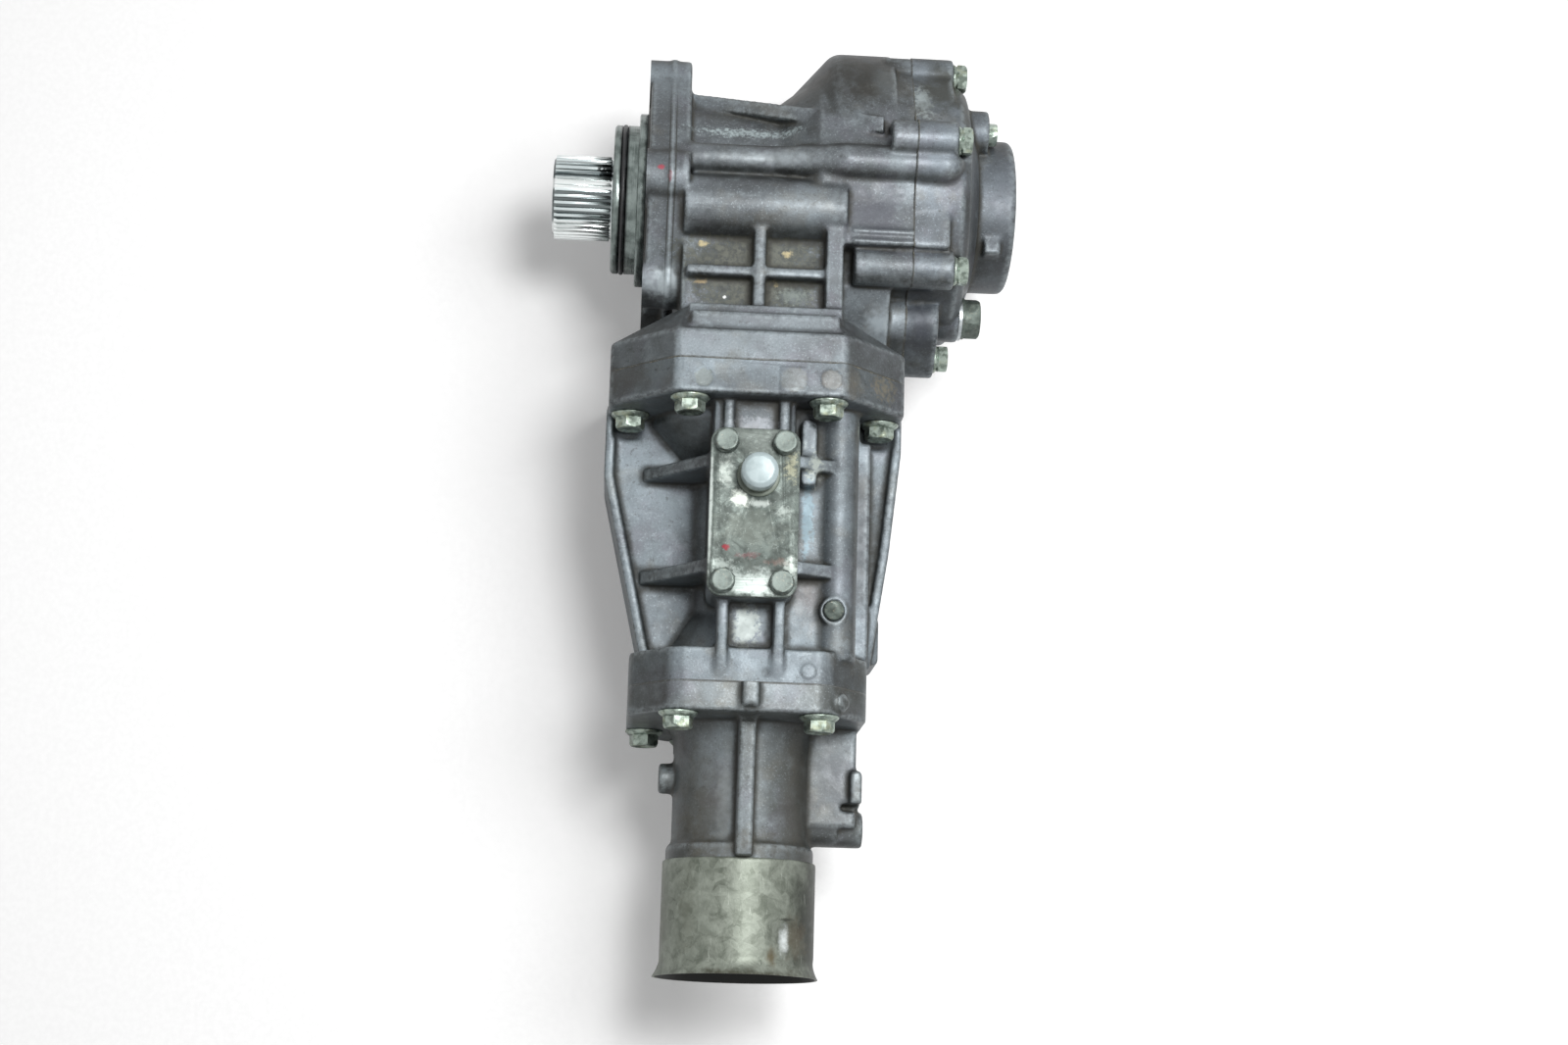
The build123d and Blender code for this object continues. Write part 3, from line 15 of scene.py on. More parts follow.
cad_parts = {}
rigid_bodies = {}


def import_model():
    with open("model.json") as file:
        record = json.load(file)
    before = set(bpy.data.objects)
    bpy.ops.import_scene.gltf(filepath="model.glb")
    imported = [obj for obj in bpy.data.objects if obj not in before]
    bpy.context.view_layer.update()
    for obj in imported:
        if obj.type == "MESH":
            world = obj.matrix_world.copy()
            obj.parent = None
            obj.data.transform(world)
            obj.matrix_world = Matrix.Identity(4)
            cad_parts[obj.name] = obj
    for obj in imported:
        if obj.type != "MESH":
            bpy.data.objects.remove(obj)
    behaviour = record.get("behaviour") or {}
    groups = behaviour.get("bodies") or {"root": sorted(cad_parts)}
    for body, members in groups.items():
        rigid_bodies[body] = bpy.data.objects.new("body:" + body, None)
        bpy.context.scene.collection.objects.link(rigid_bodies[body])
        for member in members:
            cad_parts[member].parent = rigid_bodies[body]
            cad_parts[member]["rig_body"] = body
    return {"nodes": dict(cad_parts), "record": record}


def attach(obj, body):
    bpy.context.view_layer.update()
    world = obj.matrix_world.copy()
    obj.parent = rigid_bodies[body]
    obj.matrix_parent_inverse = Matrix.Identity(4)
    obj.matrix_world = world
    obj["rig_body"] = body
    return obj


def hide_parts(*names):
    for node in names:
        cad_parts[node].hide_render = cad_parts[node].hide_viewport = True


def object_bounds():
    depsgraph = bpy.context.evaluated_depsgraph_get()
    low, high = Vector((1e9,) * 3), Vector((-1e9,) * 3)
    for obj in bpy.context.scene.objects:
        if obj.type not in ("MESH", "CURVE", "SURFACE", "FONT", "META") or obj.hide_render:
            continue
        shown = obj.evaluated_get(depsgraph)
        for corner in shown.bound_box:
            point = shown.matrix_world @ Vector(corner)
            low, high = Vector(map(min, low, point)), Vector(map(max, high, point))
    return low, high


bl_info = {
    "name": "Transfer case looks",
    "version": (1, 0, 0),
    "blender": (4, 5, 0),
    "location": "View3D > Sidebar > Transfer case",
    "description": "Dresses the packed transfer case and sets its studio",
    "category": "Object",
}

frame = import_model()
CAD_BOX = [list(corner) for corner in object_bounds()]
NODES = frame["nodes"]
MM = 0.001

# View of the photograph: what the camera looks at, how it leans, and its distance
LOOK_AT = Vector((71.48, -156.73, 0.0)) * MM
LEAN_X = 3.68
LEAN_Y = 12.71
ROLL = 1.53
DISTANCE = 1128.3 * MM
SENSOR = 36.0
LENS = 2437.2 / 1600 * SENSOR

# Output axis and parting planes of the CAD part, in millimetres as all below
OUT_X = 55.0
PARTING_Y = -98.5
TAIL_PARTING_Y = -242.4
COVER_SPLIT_X = 124.0

# Dust guard: its span along -Y, inner radius, wall, flare and length of the mouth, rings and steps
GUARD_START = 317.0
GUARD_END = 370.0
GUARD_INNER_R = 33.82
GUARD_WALL = 1.2
GUARD_FLARE = 3.1
GUARD_LIP = 8.0
GUARD_RINGS = 44
GUARD_STEPS = 160

# Heights and radii that the finishes know
SPLINE_ROOT_R = 19.0
CAP_SHOULDER = 79.0

# Castings: colour of their grime and of the painted shade in their hollows, and how metallic their clean
# skin is
GRIME_AND_SHADE = "#2e2d27"
CAST_METALLIC = 0.4

CAST_TRIANGLES = 185000
RELIEF_PASSES = 40
PAST_PLANE = 3.0
WELD = 0.1

# Marks on the castings: how deep around their centre they act, and the width of their slope
MARK_REACH = 6.0
MARK_SLOPE = 0.9

# Angles past which an edge stays sharp, or is broken
CAST_SHARP = 55
TURNED_SHARP = 40
BOLT_SHARP = 38
SHEET_SHARP = 50
BREAK_PAST = 35

# Bolts and beads
HEX_STEPS = 48
THREAD_PITCH = 1.25
THREAD_DEPTH = 0.55
BEAD_SPACING = 0.9
BEAD_LUMP = 9.0

# Studio: places in metres
KEY_AT = (0.28, -0.02, 1.15)
KEY_SIZE = 0.34
SIDE_AT = (0.7, 0.0, 0.95)
SIDE_SIZE = 0.55
FLOOR_HALF = 6.0
FLOOR_LIFT = 0.2


def linear(code):
    """Linear RGBA of an sRGB hex colour."""
    channels = [int(code[i : i + 2], 16) / 255 for i in (1, 3, 5)]
    return [c / 12.92 if c <= 0.04045 else ((c + 0.055) / 1.055) ** 2.4 for c in channels] + [1.0]


def per_mm(size):
    """Scale of a pattern whose cells are that many millimetres wide."""
    return 1000.0 / size


def add(tree, kind, inputs=(), **settings):
    """Adds a node, makes its settings, links or fills its inputs, and gives its outputs."""
    made = tree.nodes.new(kind)
    for name, value in settings.items():
        setattr(made, name, value)
    for name, value in dict(inputs).items():
        socket = made.inputs[name]
        if isinstance(value, bpy.types.NodeSocket):
            tree.links.new(value, socket)
        else:
            socket.default_value = value
    return made.outputs


# Materials


class Finish:
    """A material with its object coordinates, and the sums that its patterns are made of."""

    def __init__(self, name):
        self.material = bpy.data.materials.new(name)
        self.material.use_nodes = True
        self.tree = self.material.node_tree
        self.tree.nodes.clear()
        given = self.add("ShaderNodeTexCoord")
        self.place = given["Object"]
        self.facing = given["Normal"]
        self.rags = {}
        self.colour = None
        self.coords = self.add("ShaderNodeSeparateXYZ", {0: self.place})

    def add(self, kind, inputs=(), **settings):
        return add(self.tree, kind, inputs, **settings)

    def noise(self, size, detail, rough, stretch=None, warp=0.0):
        """Noise with cells of that size in millimetres, about 0 to 1."""
        where = self.place
        if stretch:
            where = self.add("ShaderNodeMapping", {"Vector": where, "Scale": stretch})[0]
        return self.add("ShaderNodeTexNoise", {"Vector": where, "Scale": per_mm(size), "Detail": detail,
                                               "Roughness": rough, "Distortion": warp})["Fac"]

    def step(self, value, low, high, start=0.0, end=1.0):
        """The value carried from low..high to start..end, smoothly, and held beyond."""
        return self.add("ShaderNodeMapRange", {"Value": value, 1: low, 2: high, 3: start, 4: end},
                        interpolation_type="SMOOTHSTEP")[0]

    def sum(self, operation, a, b):
        return self.add("ShaderNodeMath", {0: a, 1: b}, operation=operation)[0]

    def mix(self, factor, a, b, blend="MIX"):
        """Colour a turned to colour b by the factor."""
        a, b = (linear(colour) if isinstance(colour, str) else colour for colour in (a, b))
        return self.add("ShaderNodeMix", {"Factor": factor, 6: a, 7: b}, data_type="RGBA",
                        blend_type=blend)[2]

    def between(self, value, low, high, first, last):
        """Starts the colour: the first shade up to low, the last one past high."""
        self.colour = self.mix(self.step(value, low, high), first, last)

    def tone(self, value, low, high, shade, most=1.0):
        """Turns the colour to the shade, at most by that share, as the value goes from low to high."""
        self.colour = self.mix(self.step(value, low, high, 0.0, most), self.colour, shade)

    def over(self, mask, shade, share=1.0):
        """Covers the colour with the shade, up to that share, where the mask is 1."""
        self.colour = self.mix(self.sum("MULTIPLY", mask, share), self.colour, shade)

    def stain(self, spots):
        """Puts every spot of a table on the colour."""
        for centre, size, shade, rim, share in spots:
            self.over(self.spot(centre, size, *rim), shade, share)

    def vector(self, operation, a, b=(0.0, 0.0, 0.0), output="Vector"):
        return self.add("ShaderNodeVectorMath", {0: a, 1: b}, operation=operation)[output]

    def spot(self, centre, size, edge, ragged, cell):
        """1 inside an ellipsoid with a ragged edge, 0 outside; centre and half sizes in millimetres."""
        shift = [-c / s for c, s in zip(centre, size)]
        scaled = self.add("ShaderNodeMapping", {"Vector": self.place, "Location": shift,
                                                "Scale": [1000.0 / s for s in size]})[0]
        away = self.vector("LENGTH", scaled, output="Value")
        if cell not in self.rags:
            self.rags[cell] = self.sum("SUBTRACT", self.noise(cell, 4.0, 0.65), 0.5)
        rough = self.sum("MULTIPLY", self.rags[cell], ragged * 2)
        return self.step(self.sum("ADD", away, rough), 1.0, 1.0 - edge)

    def near(self, axis, at, half):
        """1 within that many millimetres of a plane across an axis."""
        away = self.sum("ABSOLUTE", self.sum("SUBTRACT", self.coords[axis], at * MM), 0.0)
        return self.step(away, half * MM, half * MM * 0.5)

    def upward(self):
        """Z of the surface normal: 1 on top faces, 0 on side walls."""
        return self.add("ShaderNodeSeparateXYZ", {0: self.facing})[2]

    def around(self, centre, across):
        """From a line through that point to here, in metres, along the two axes across the line."""
        return self.vector("MULTIPLY", self.vector("SUBTRACT", self.place, centre), across)

    def relief(self):
        """Positive in hollows and negative on edges, from the attribute that the castings carry."""
        return self.add("ShaderNodeAttribute", attribute_name="relief")["Fac"]

    def finish(self, rough, metallic, bump, bump_mm, strength):
        """Closes the material with one Principled shader, dented by the bump."""
        dents = self.add("ShaderNodeBump", {"Height": bump, "Strength": strength,
                                            "Distance": bump_mm * MM})[0]
        shader = self.add("ShaderNodeBsdfPrincipled", {"Base Color": self.colour, "Roughness": rough,
                                                       "Metallic": metallic, "Normal": dents})[0]
        self.add("ShaderNodeOutputMaterial", {"Surface": shader})
        return self.material


def cast_aluminium(name, base, dark, light, rough, spots, joints, oil):
    """Die-cast aluminium left as cast, with its grey oxide skin: slow clouds of cool and warm tone, a grain
    of about a millimetre with pale flecks and dark pits, painted shade on slopes and side walls, brown-black
    grime and painted shade in inner corners, rubbed edges, and a thin dark line at each joint."""
    f = Finish(name)
    blotch = f.noise(8, 4.0, 0.62, warp=0.4)
    grain = f.noise(1.0, 3.0, 0.7)
    tint = f.noise(26, 3.0, 0.6)
    relief = f.relief()
    f.between(f.noise(40, 3.0, 0.6), 0.36, 0.66, dark, base)
    f.tone(tint, 0.5, 0.68, "#67666f", 0.4)
    f.tone(tint, 0.46, 0.3, "#6f6c62", 0.35)
    f.tone(blotch, 0.5, 0.76, light, 0.4)
    f.tone(blotch, 0.44, 0.26, dark, 0.35)
    # Pale flecks and dark pits of the cast skin
    f.tone(grain, 0.55, 0.7, light, 0.6)
    f.tone(grain, 0.44, 0.3, dark, 0.6)
    speck = f.noise(3.2, 4.0, 0.75)
    f.tone(speck, 0.58, 0.72, light, 0.35)
    f.tone(speck, 0.42, 0.3, GRIME_AND_SHADE, 0.45)
    # Painted shade by facing: none on top faces, darkest on slopes, a little less on upright walls, uneven
    # with the blotches
    up = f.upward()
    slope_shade = f.sum("SUBTRACT", f.step(up, 0.93, 0.6), f.step(up, 0.5, 0.1, 0.0, 0.35))
    slope_shade = f.sum("MULTIPLY", slope_shade, f.step(blotch, 0.25, 0.7, 0.95, 0.7))
    f.colour = f.mix(slope_shade, f.colour, "#8d8b84", "MULTIPLY")
    f.stain(spots)
    # Brown-black grime and painted shade in the hollows that the relief finds, broken up by noise
    corner = f.step(f.noise(5, 4.0, 0.7), 0.25, 0.6, 0.5, 1.0)
    corner = f.sum("MULTIPLY", f.step(relief, 0.08, 0.6), corner)
    film = f.step(f.noise(22, 4.0, 0.65, warp=0.5), 0.52, 0.74, 0.0, oil)
    grime_and_shade = f.sum("MAXIMUM", f.sum("MULTIPLY", corner, 0.85), film)
    for axis, at in joints:
        grime_and_shade = f.sum("MAXIMUM", grime_and_shade, f.sum("MULTIPLY", f.near(axis, at, 0.6), 0.85))
    # Grime, oil film and joint lines, with the painted shade of the hollows, laid over the colour
    f.over(grime_and_shade, GRIME_AND_SHADE)
    edge = f.step(f.noise(3, 3.0, 0.7), 0.35, 0.62, 0.1, 0.8)
    edge = f.sum("MULTIPLY", f.step(relief, -0.1, -0.45), edge)
    f.over(edge, "#a3adb1", 0.4)
    gloss = f.step(blotch, 0.3, 0.7, rough - 0.05, rough + 0.08)
    gloss = f.sum("ADD", gloss, f.sum("MULTIPLY", corner, 0.2))
    height = f.sum("ADD", f.sum("MULTIPLY", grain, 0.4), f.sum("MULTIPLY", blotch, 0.6))
    return f.finish(gloss, f.step(grime_and_shade, 0.1, 0.9, CAST_METALLIC, 0.1), height, 0.3, 0.5)


def zinc_steel():
    """Cold-headed steel with a passivated zinc coat: pale green-grey, faintly yellow in places, duller in
    some places and brighter where a spanner has turned it."""
    f = Finish("zinc_plated_cold_headed_steel")
    cloud = f.noise(3.2, 3.0, 0.6)
    f.between(cloud, 0.36, 0.62, "#6c776e", "#a4b1a7")
    f.tone(f.noise(6, 3.0, 0.6), 0.5, 0.7, "#9c9f80", 0.5)
    scratch = f.noise(0.7, 3.0, 0.75, stretch=(1.0, 0.25, 1.0))
    f.tone(scratch, 0.58, 0.74, "#ccd4cf", 0.6)
    return f.finish(f.step(cloud, 0.3, 0.7, 0.28, 0.42), 0.75, scratch, 0.06, 0.4)


def worn_zinc(name, dark, base):
    """Zinc-plated screws and plugs dulled by the road: flat grey-green, with rusty points."""
    f = Finish(name)
    cloud = f.noise(3.0, 4.0, 0.65)
    f.between(cloud, 0.36, 0.64, dark, base)
    f.tone(f.noise(1.2, 3.0, 0.7), 0.58, 0.72, "#a39a86", 0.4)
    return f.finish(f.step(cloud, 0.3, 0.7, 0.36, 0.5), 0.5, cloud, 0.08, 0.4)


def splined_steel():
    """Induction-hardened spline, oiled and polished: painted reflections in light and dark stripes along the
    teeth, painted glints in three stripes across it, painted shade in the roots, fine draw lines along the
    teeth and a blob of black grease with bright beads."""
    f = Finish("hardened_spline_steel")
    # Painted reflections: light and dark stripes along the teeth
    reflection_bands = f.noise(9, 2.0, 0.5, stretch=(0.03, 1.0, 1.0))
    lines = f.noise(0.9, 3.0, 0.7, stretch=(0.05, 1.0, 1.0))
    f.between(reflection_bands, 0.38, 0.56, "#6f7a7c", "#ccd6d7")
    f.tone(lines, 0.48, 0.62, "#e6edec", 0.45)
    out = f.vector("LENGTH", f.around((0.0, 0.0, 0.0), (0.0, 1.0, 1.0)), output="Value")
    # Painted shade in the roots between the teeth
    root = f.step(out, (SPLINE_ROOT_R + 0.7) * MM, (SPLINE_ROOT_R + 0.1) * MM)
    f.over(root, "#2d3334", 0.75)
    # Painted glints: three bright stripes, at both edges and along the middle
    painted_glints = f.sum("MAXIMUM", f.near(1, 19.0, 4.2), f.near(1, -19.0, 4.2))
    painted_glints = f.sum("MAXIMUM", f.near(1, 0.0, 3.4), painted_glints)
    f.over(painted_glints, "#f4f8f7", 0.8)
    grease = f.spot((-18.0, 7.5, 16), (6.5, 4.5, 9), 0.3, 0.6, 2.5)
    f.over(grease, "#15171a", 0.92)
    beads = f.sum("MULTIPLY", grease, f.step(f.noise(1.3, 1.0, 0.5), 0.64, 0.7))
    f.over(beads, "#c8cfd0")
    return f.finish(f.step(lines, 0.3, 0.7, 0.22, 0.32), 1.0, lines, 0.008, 0.3)


def turned_steel(name, cell, first, last, crest, sheen, metallic, strength, groove=None):
    """Turned steel with fine rings left by the tool about X, and black oil in a groove where it has one."""
    f = Finish(name)
    rings = f.noise(0.5, 3.0, 0.7, stretch=(1.0, 0.04, 0.04))
    f.between(f.noise(cell, 3.0, 0.6), 0.35, 0.7, first, last)
    f.tone(rings, *crest, 0.4)
    if groove:
        f.over(f.near(0, *groove), "#131516", 0.9)
    return f.finish(f.step(rings, 0.3, 0.7, sheen, 0.34), metallic, rings, 0.03, strength)


def galvanised_sheet():
    """Drawn steel sheet with a galvanised coat: pale grey-green with soft grain flowers, thin rub marks,
    painted shade on its right flank, a dark band at its mouth, a rust-brown bruise round the dent and
    painted shade inside."""
    f = Finish("galvanised_drawn_steel")
    flowers = f.add("ShaderNodeTexVoronoi", {"Vector": f.place, "Scale": per_mm(4.5), "Randomness": 1.0},
                    feature="F1")["Color"]
    tone = f.add("ShaderNodeSeparateColor", {"Color": flowers})[0]
    cloud = f.noise(7, 5.0, 0.7, warp=0.5)
    f.between(cloud, 0.34, 0.66, "#5f655b", "#858b81")
    f.tone(tone, 0.2, 0.9, "#a7aea3", 0.26)
    f.over(f.step(f.noise(2.2, 4.0, 0.7), 0.5, 0.7), "#656b61", 0.4)
    f.stain(GUARD_SPOTS)
    rub = f.noise(1.1, 4.0, 0.75, stretch=(1.0, 0.12, 1.0))
    f.tone(rub, 0.6, 0.74, "#cdd3c9", 0.35)
    # Painted shade: the inside, where the normal points at the axis, is painted near black
    spoke = f.around((OUT_X * MM, 0.0, 0.0), (1.0, 0.0, 1.0))
    out = f.vector("DOT_PRODUCT", spoke, f.facing, "Value")
    f.tone(out, -0.002, -0.008, "#050504", 0.98)
    return f.finish(f.step(cloud, 0.3, 0.7, 0.4, 0.52), 0.62, cloud, 0.5, 0.3)


# Spots of the guard and the plate: centre, half sizes, shade, edge, share
GUARD_SPOTS = [
    # Painted shade on the right flank of the guard
    ((93, -343, 0), (31, 46, 54), "#2f322c", (0.6, 0.35, 9), 0.95),
    ((80, -352, 24), (9, 14, 14), "#5b5447", (0.9, 0.8, 5), 0.6),
    ((58, -369, 25), (34, 4.5, 40), "#3d3a2c", (0.8, 0.9, 5), 0.85),
    ((20, -343, 0), (9, 34, 30), "#55584d", (0.9, 0.5, 9), 0.65),
    ((30, -340, 30), (7, 26, 18), "#6a6e62", (0.9, 0.9, 6), 0.5),
    ((69, -360, 32), (3.5, 6, 8), "#57492b", (0.9, 0.6, 4), 0.75),
    ((75, -343.5, 28), (5.5, 0.9, 7), "#2f302b", (0.7, 0.8, 2), 0.7),
    ((74.8, -352.5, 30), (3.4, 9, 9), "#dfe6e6", (0.8, 0.4, 3), 0.95),
]
PLATE_SPOTS = [
    ((53, -136, 72), (24, 8, 8), "#6f7671", (0.6, 0.9, 5), 0.6),
    ((52, -176, 72), (22, 11, 8), "#697069", (0.7, 1.0, 5), 0.65),
    ((40.5, -152, 72), (5, 9, 8), "#c3ccc5", (0.9, 1.3, 3), 0.6),
    ((47.5, -163, 72), (5.5, 5, 8), "#dfe5dc", (0.8, 0.9, 2.5), 0.9),
    ((55.7, -165, 72), (6.5, 2.2, 8), "#d5ddd8", (0.7, 0.7, 2), 0.7),
    ((69.5, -147, 72), (3.5, 9, 8), "#b7b79c", (0.9, 1.5, 1.6), 0.65),
    ((66, -168, 72), (5, 3.5, 8), "#b5bfb9", (0.9, 1.4, 1.6), 0.5),
    ((53.5, -201, 72), (20, 7.5, 8), "#c9d4cf", (0.6, 0.9, 4), 0.85),
    ((40, -193, 72), (6, 4, 8), "#b8c3bd", (0.8, 1.2, 2.5), 0.7),
    ((70, -193, 72), (4, 6, 8), "#cbd5ce", (0.8, 1.2, 2.5), 0.8),
    ((53, -194, 72), (5, 5.5, 8), "#5d635e", (0.9, 1.6, 1.8), 0.7),
    ((34.2, -168, 72), (1.1, 36, 8), "#d2dbd6", (0.6, 0.5, 3), 0.7),
    ((41.3, -185.2, 72), (2.0, 1.8, 5), "#8c2330", (0.6, 0.9, 1.5), 0.85),
    ((50.5, -188.5, 72), (7, 1.8, 5), "#7d3b44", (0.9, 1.4, 2), 0.4),
    ((64, -191, 72), (6, 2.5, 5), "#8b6f66", (0.9, 1.4, 2), 0.4),
]


def zinc_plate():
    """Zinc-plated sheet steel worn by years of road: mottled grey-green, dark in the middle, with a whitish
    bloom round the cap and at its foot, yellow streaks at the right and a smear of old paint."""
    f = Finish("zinc_plated_sheet_steel")
    cloud = f.noise(6, 5.0, 0.68, warp=0.6)
    fine = f.noise(1.5, 4.0, 0.75)
    f.between(cloud, 0.36, 0.64, "#474e4a", "#66706b")
    f.stain(PLATE_SPOTS)
    f.tone(fine, 0.55, 0.7, "#a5b0ab", 0.4)
    f.tone(f.noise(2.4, 4.0, 0.8), 0.56, 0.68, "#565f5b", 0.5)
    return f.finish(f.step(cloud, 0.35, 0.7, 0.56, 0.42), 0.4, fine, 0.12, 0.5)


def satin_cap():
    """Moulded vent cap, pale blue-grey with a soft sheen, a film of dust and painted shade on its side below
    the shoulder.
    """
    f = Finish("moulded_vent_cap")
    cloud = f.noise(4, 3.0, 0.6)
    f.between(cloud, 0.35, 0.7, "#9dacae", "#aebcbe")
    f.tone(f.noise(0.8, 3.0, 0.7), 0.6, 0.75, "#93a09f", 0.3)
    # Painted shade on the side below the shoulder
    f.tone(f.coords[2], CAP_SHOULDER * MM, (CAP_SHOULDER - 1) * MM, "#59604f", 0.85)
    return f.finish(f.step(cloud, 0.3, 0.7, 0.34, 0.45), 0.1, cloud, 0.08, 0.4)


def nitrile_rubber():
    """Moulded nitrile rubber: near black, with the soft shine of oil on it."""
    f = Finish("moulded_nitrile_rubber")
    film = f.noise(3, 3.0, 0.6)
    f.between(film, 0.4, 0.7, "#141516", "#26282a")
    return f.finish(f.step(film, 0.35, 0.7, 0.28, 0.5), 0.0, film, 0.05, 0.3)


def plain(name, noise, low, high, dark, light, rough, metallic, bump_mm, strength):
    """A plain material: one noise (its cell, detail and roughness) turns dark to light and dents it."""
    f = Finish(name)
    grain = f.noise(*noise)
    f.between(grain, low, high, dark, light)
    return f.finish(rough, metallic, grain, bump_mm, strength)


def pale_floor():
    """Seamless pale paper under the part: matte and even."""
    f = Finish("seamless_paper")
    pulp = f.noise(2.5, 3.0, 0.6)
    f.between(pulp, 0.3, 0.7, "#ededed", "#f2f2f2")
    shader = f.add("ShaderNodeBsdfDiffuse", {"Color": f.colour})[0]
    seen = f.add("ShaderNodeLightPath")["Is Camera Ray"]
    glow = f.add("ShaderNodeEmission", {"Color": (1.0, 1.0, 1.0, 1.0),
                                        "Strength": f.sum("MULTIPLY", seen, FLOOR_LIFT)})[0]
    both = f.add("ShaderNodeAddShader", {0: shader, 1: glow})[0]
    f.add("ShaderNodeOutputMaterial", {"Surface": both})
    return f.material


# Edges of spots: how soft, how ragged, and the cell of the raggedness in millimetres
POCKET = (0.4, 0.5, 4)
CLOUD = (0.9, 0.8, 9)
CRUST = (0.8, 1.4, 2.0)
DROP = (0.5, 0.6, 1.5)
SOFT_PATCH = (0.9, 0.8, 4)
# Grime, rubbed places, painted shade and painted highlights of the castings: centre, half sizes, shade,
# edge, share
CASE_SPOTS = [
    # Pocket floors: dark grime and painted shade
    ((53, -50, 50.5), (52, 31, 6.5), "#2b2f2b", POCKET, 0.86),
    ((53, -50, 51), (50, 30, 6), "#6f7064", CRUST, 0.42),
    ((27, -39, 53), (2.6, 2.2, 4), "#aca07c", CRUST, 0.85),
    ((66, -42, 53), (3, 2.0, 4), "#aca07c", CRUST, 0.85),
    ((27, -57, 53), (3.4, 1.6, 4), "#8f7d5c", CRUST, 0.8),
    ((61, -57, 53), (2.4, 2.0, 4), "#a99c74", CRUST, 0.9),
    ((38, -64, 53), (1.1, 1.1, 4), "#d8dcda", DROP, 0.9),
    ((70, -62, 53), (9, 5, 4), "#7b8582", CRUST, 0.6),
    ((48, 20, 47), (36, 3.6, 8), "#a9b6b8", (0.9, 1.5, 1.6), 0.85),
    ((6.7, -7.8, 67), (2.0, 1.6, 6), "#96404c", DROP, 0.9),
    ((10.9, -11.6, 67), (1.2, 3.4, 6), "#6f2c37", DROP, 0.9),
    ((98, 50, 54), (38, 34, 44), "#2b2a25", CLOUD, 0.9),
    # Painted highlight along the top of the middle cylinder
    ((56, 2, 62), (38, 6, 8), "#a7b0b4", SOFT_PATCH, 0.5),
    ((53, -77, 70), (40, 7, 5), "#5c6265", CLOUD, 0.45),
    ((111, 48, 58), (9, 15, 26), "#666b6c", CLOUD, 0.5),
    # Painted shadow under the shelf rib
    ((40, 30, 48), (36, 7, 30), "#4e504d", SOFT_PATCH, 0.45),
    ((70, -73, 57), (2.0, 7, 8), "#b9c2c2", CRUST, 0.6),
    ((106, -23, 60), (20, 24, 24), "#43444c", CLOUD, 0.72),
    ((111, -68, 37), (10, 10, 12), "#a0aab0", SOFT_PATCH, 0.8),
    ((12, -56, 45), (14, 11, 12), "#a9b3b7", SOFT_PATCH, 0.8),
    # Painted shade either side of the flange bead and a painted highlight along its crest
    ((10.3, -8, 45), (0.5, 60, 60), "#2e2f2a", (0.5, 0.12, 3), 0.8),
    ((13.2, -8, 45), (0.5, 60, 60), "#2e2f2a", (0.5, 0.12, 3), 0.8),
    ((11.7, -8, 45), (0.8, 58, 60), "#9aa4a8", (0.6, 0.4, 3), 0.3),
    ((92, -14, 52), (6, 14, 16), "#33343a", CLOUD, 0.6),
    ((2, -70, 20), (18, 8, 40), "#3a3b36", CLOUD, 0.6),
]
COVER_SPOTS = [
    ((131, -64, 31), (20, 20, 34), "#2f3239", CLOUD, 0.85),
    ((128.3, 37.5, 57), (6, 13, 20), "#a3adad", (0.6, 1.2, 2.2), 0.7),
    ((141, -9, 58), (10, 16, 12), "#55545e", CLOUD, 0.6),
    ((168, 0, 60), (7, 30, 10), "#7f868a", SOFT_PATCH, 0.4),
    ((140, 44, 50), (20, 32, 34), "#35362f", CLOUD, 0.85),
    ((170, 0, 30), (14, 48, 48), "#4d5157", CLOUD, 0.4),
    ((142, -32, 56), (16, 12, 14), "#5b5f66", CLOUD, 0.4),
]
ADAPTER_SPOTS = [
    ((79, -166, 50), (3.5, 27, 14), "#7e949e", (0.7, 1.3, 2.2), 0.75),
    ((81, -143, 52), (5, 9, 14), "#b4bcb2", CRUST, 0.7),
    ((73.5, -134, 57), (5, 5, 12), "#aab3b3", CRUST, 0.6),
    ((54, -126, 60), (16, 5, 14), "#a7abb1", CRUST, 0.5),
    ((52, -217, 54), (7.5, 12, 7), "#aab2ae", (0.5, 1.0, 2.2), 0.75),
    ((80, -200, 48), (10, 22, 12), "#6d675f", CLOUD, 0.4),
    ((54, -113, 50), (60, 10, 40), "#3a3a3c", (0.6, 0.4, 6), 0.35),
    ((110, -148, 34), (10, 18, 14), "#3f3a31", CLOUD, 0.6),
    ((-6, -102, 50), (20, 16, 26), "#3b3833", CLOUD, 0.5),
    ((11, -111, 65), (12, 9, 10), "#45474a", CLOUD, 0.5),
    ((100, -107, 70), (14, 10, 8), "#6f6859", CLOUD, 0.5),
    ((108, -166, 30), (14, 50, 14), "#4a4d50", CLOUD, 0.75),
    ((113, -104, 60), (9, 8, 20), "#7c745f", CRUST, 0.5),
    ((29.5, -108.0, 72), (4.6, 4.6, 2.5), "#747a74", (0.2, 0.4, 2), 0.5),
    ((69.5, -107.3, 72), (6.5, 6.5, 2.5), "#7a7c76", (0.2, 0.4, 2), 0.35),
    ((86.5, -106.6, 72), (5.2, 5.2, 2.5), "#6f6c65", (0.2, 0.4, 2), 0.5),
]
EXTENSION_SPOTS = [
    # Painted shade on the left flank of the tail
    ((37, -296, 26), (18, 40, 30), "#4a463b", CLOUD, 0.5),
    # Painted shade on the right flank of the tail
    ((78, -296, 20), (14, 44, 34), "#4b4a45", CLOUD, 0.6),
    ((55, -312, 30), (34, 10, 40), "#4e493c", SOFT_PATCH, 0.5),
    # Painted highlight along the tail, left of its top
    ((46, -290, 34), (5, 32, 14), "#a0a7a7", SOFT_PATCH, 0.4),
    ((97, -280, 11), (16, 46, 14), "#53565a", CLOUD, 0.65),
]


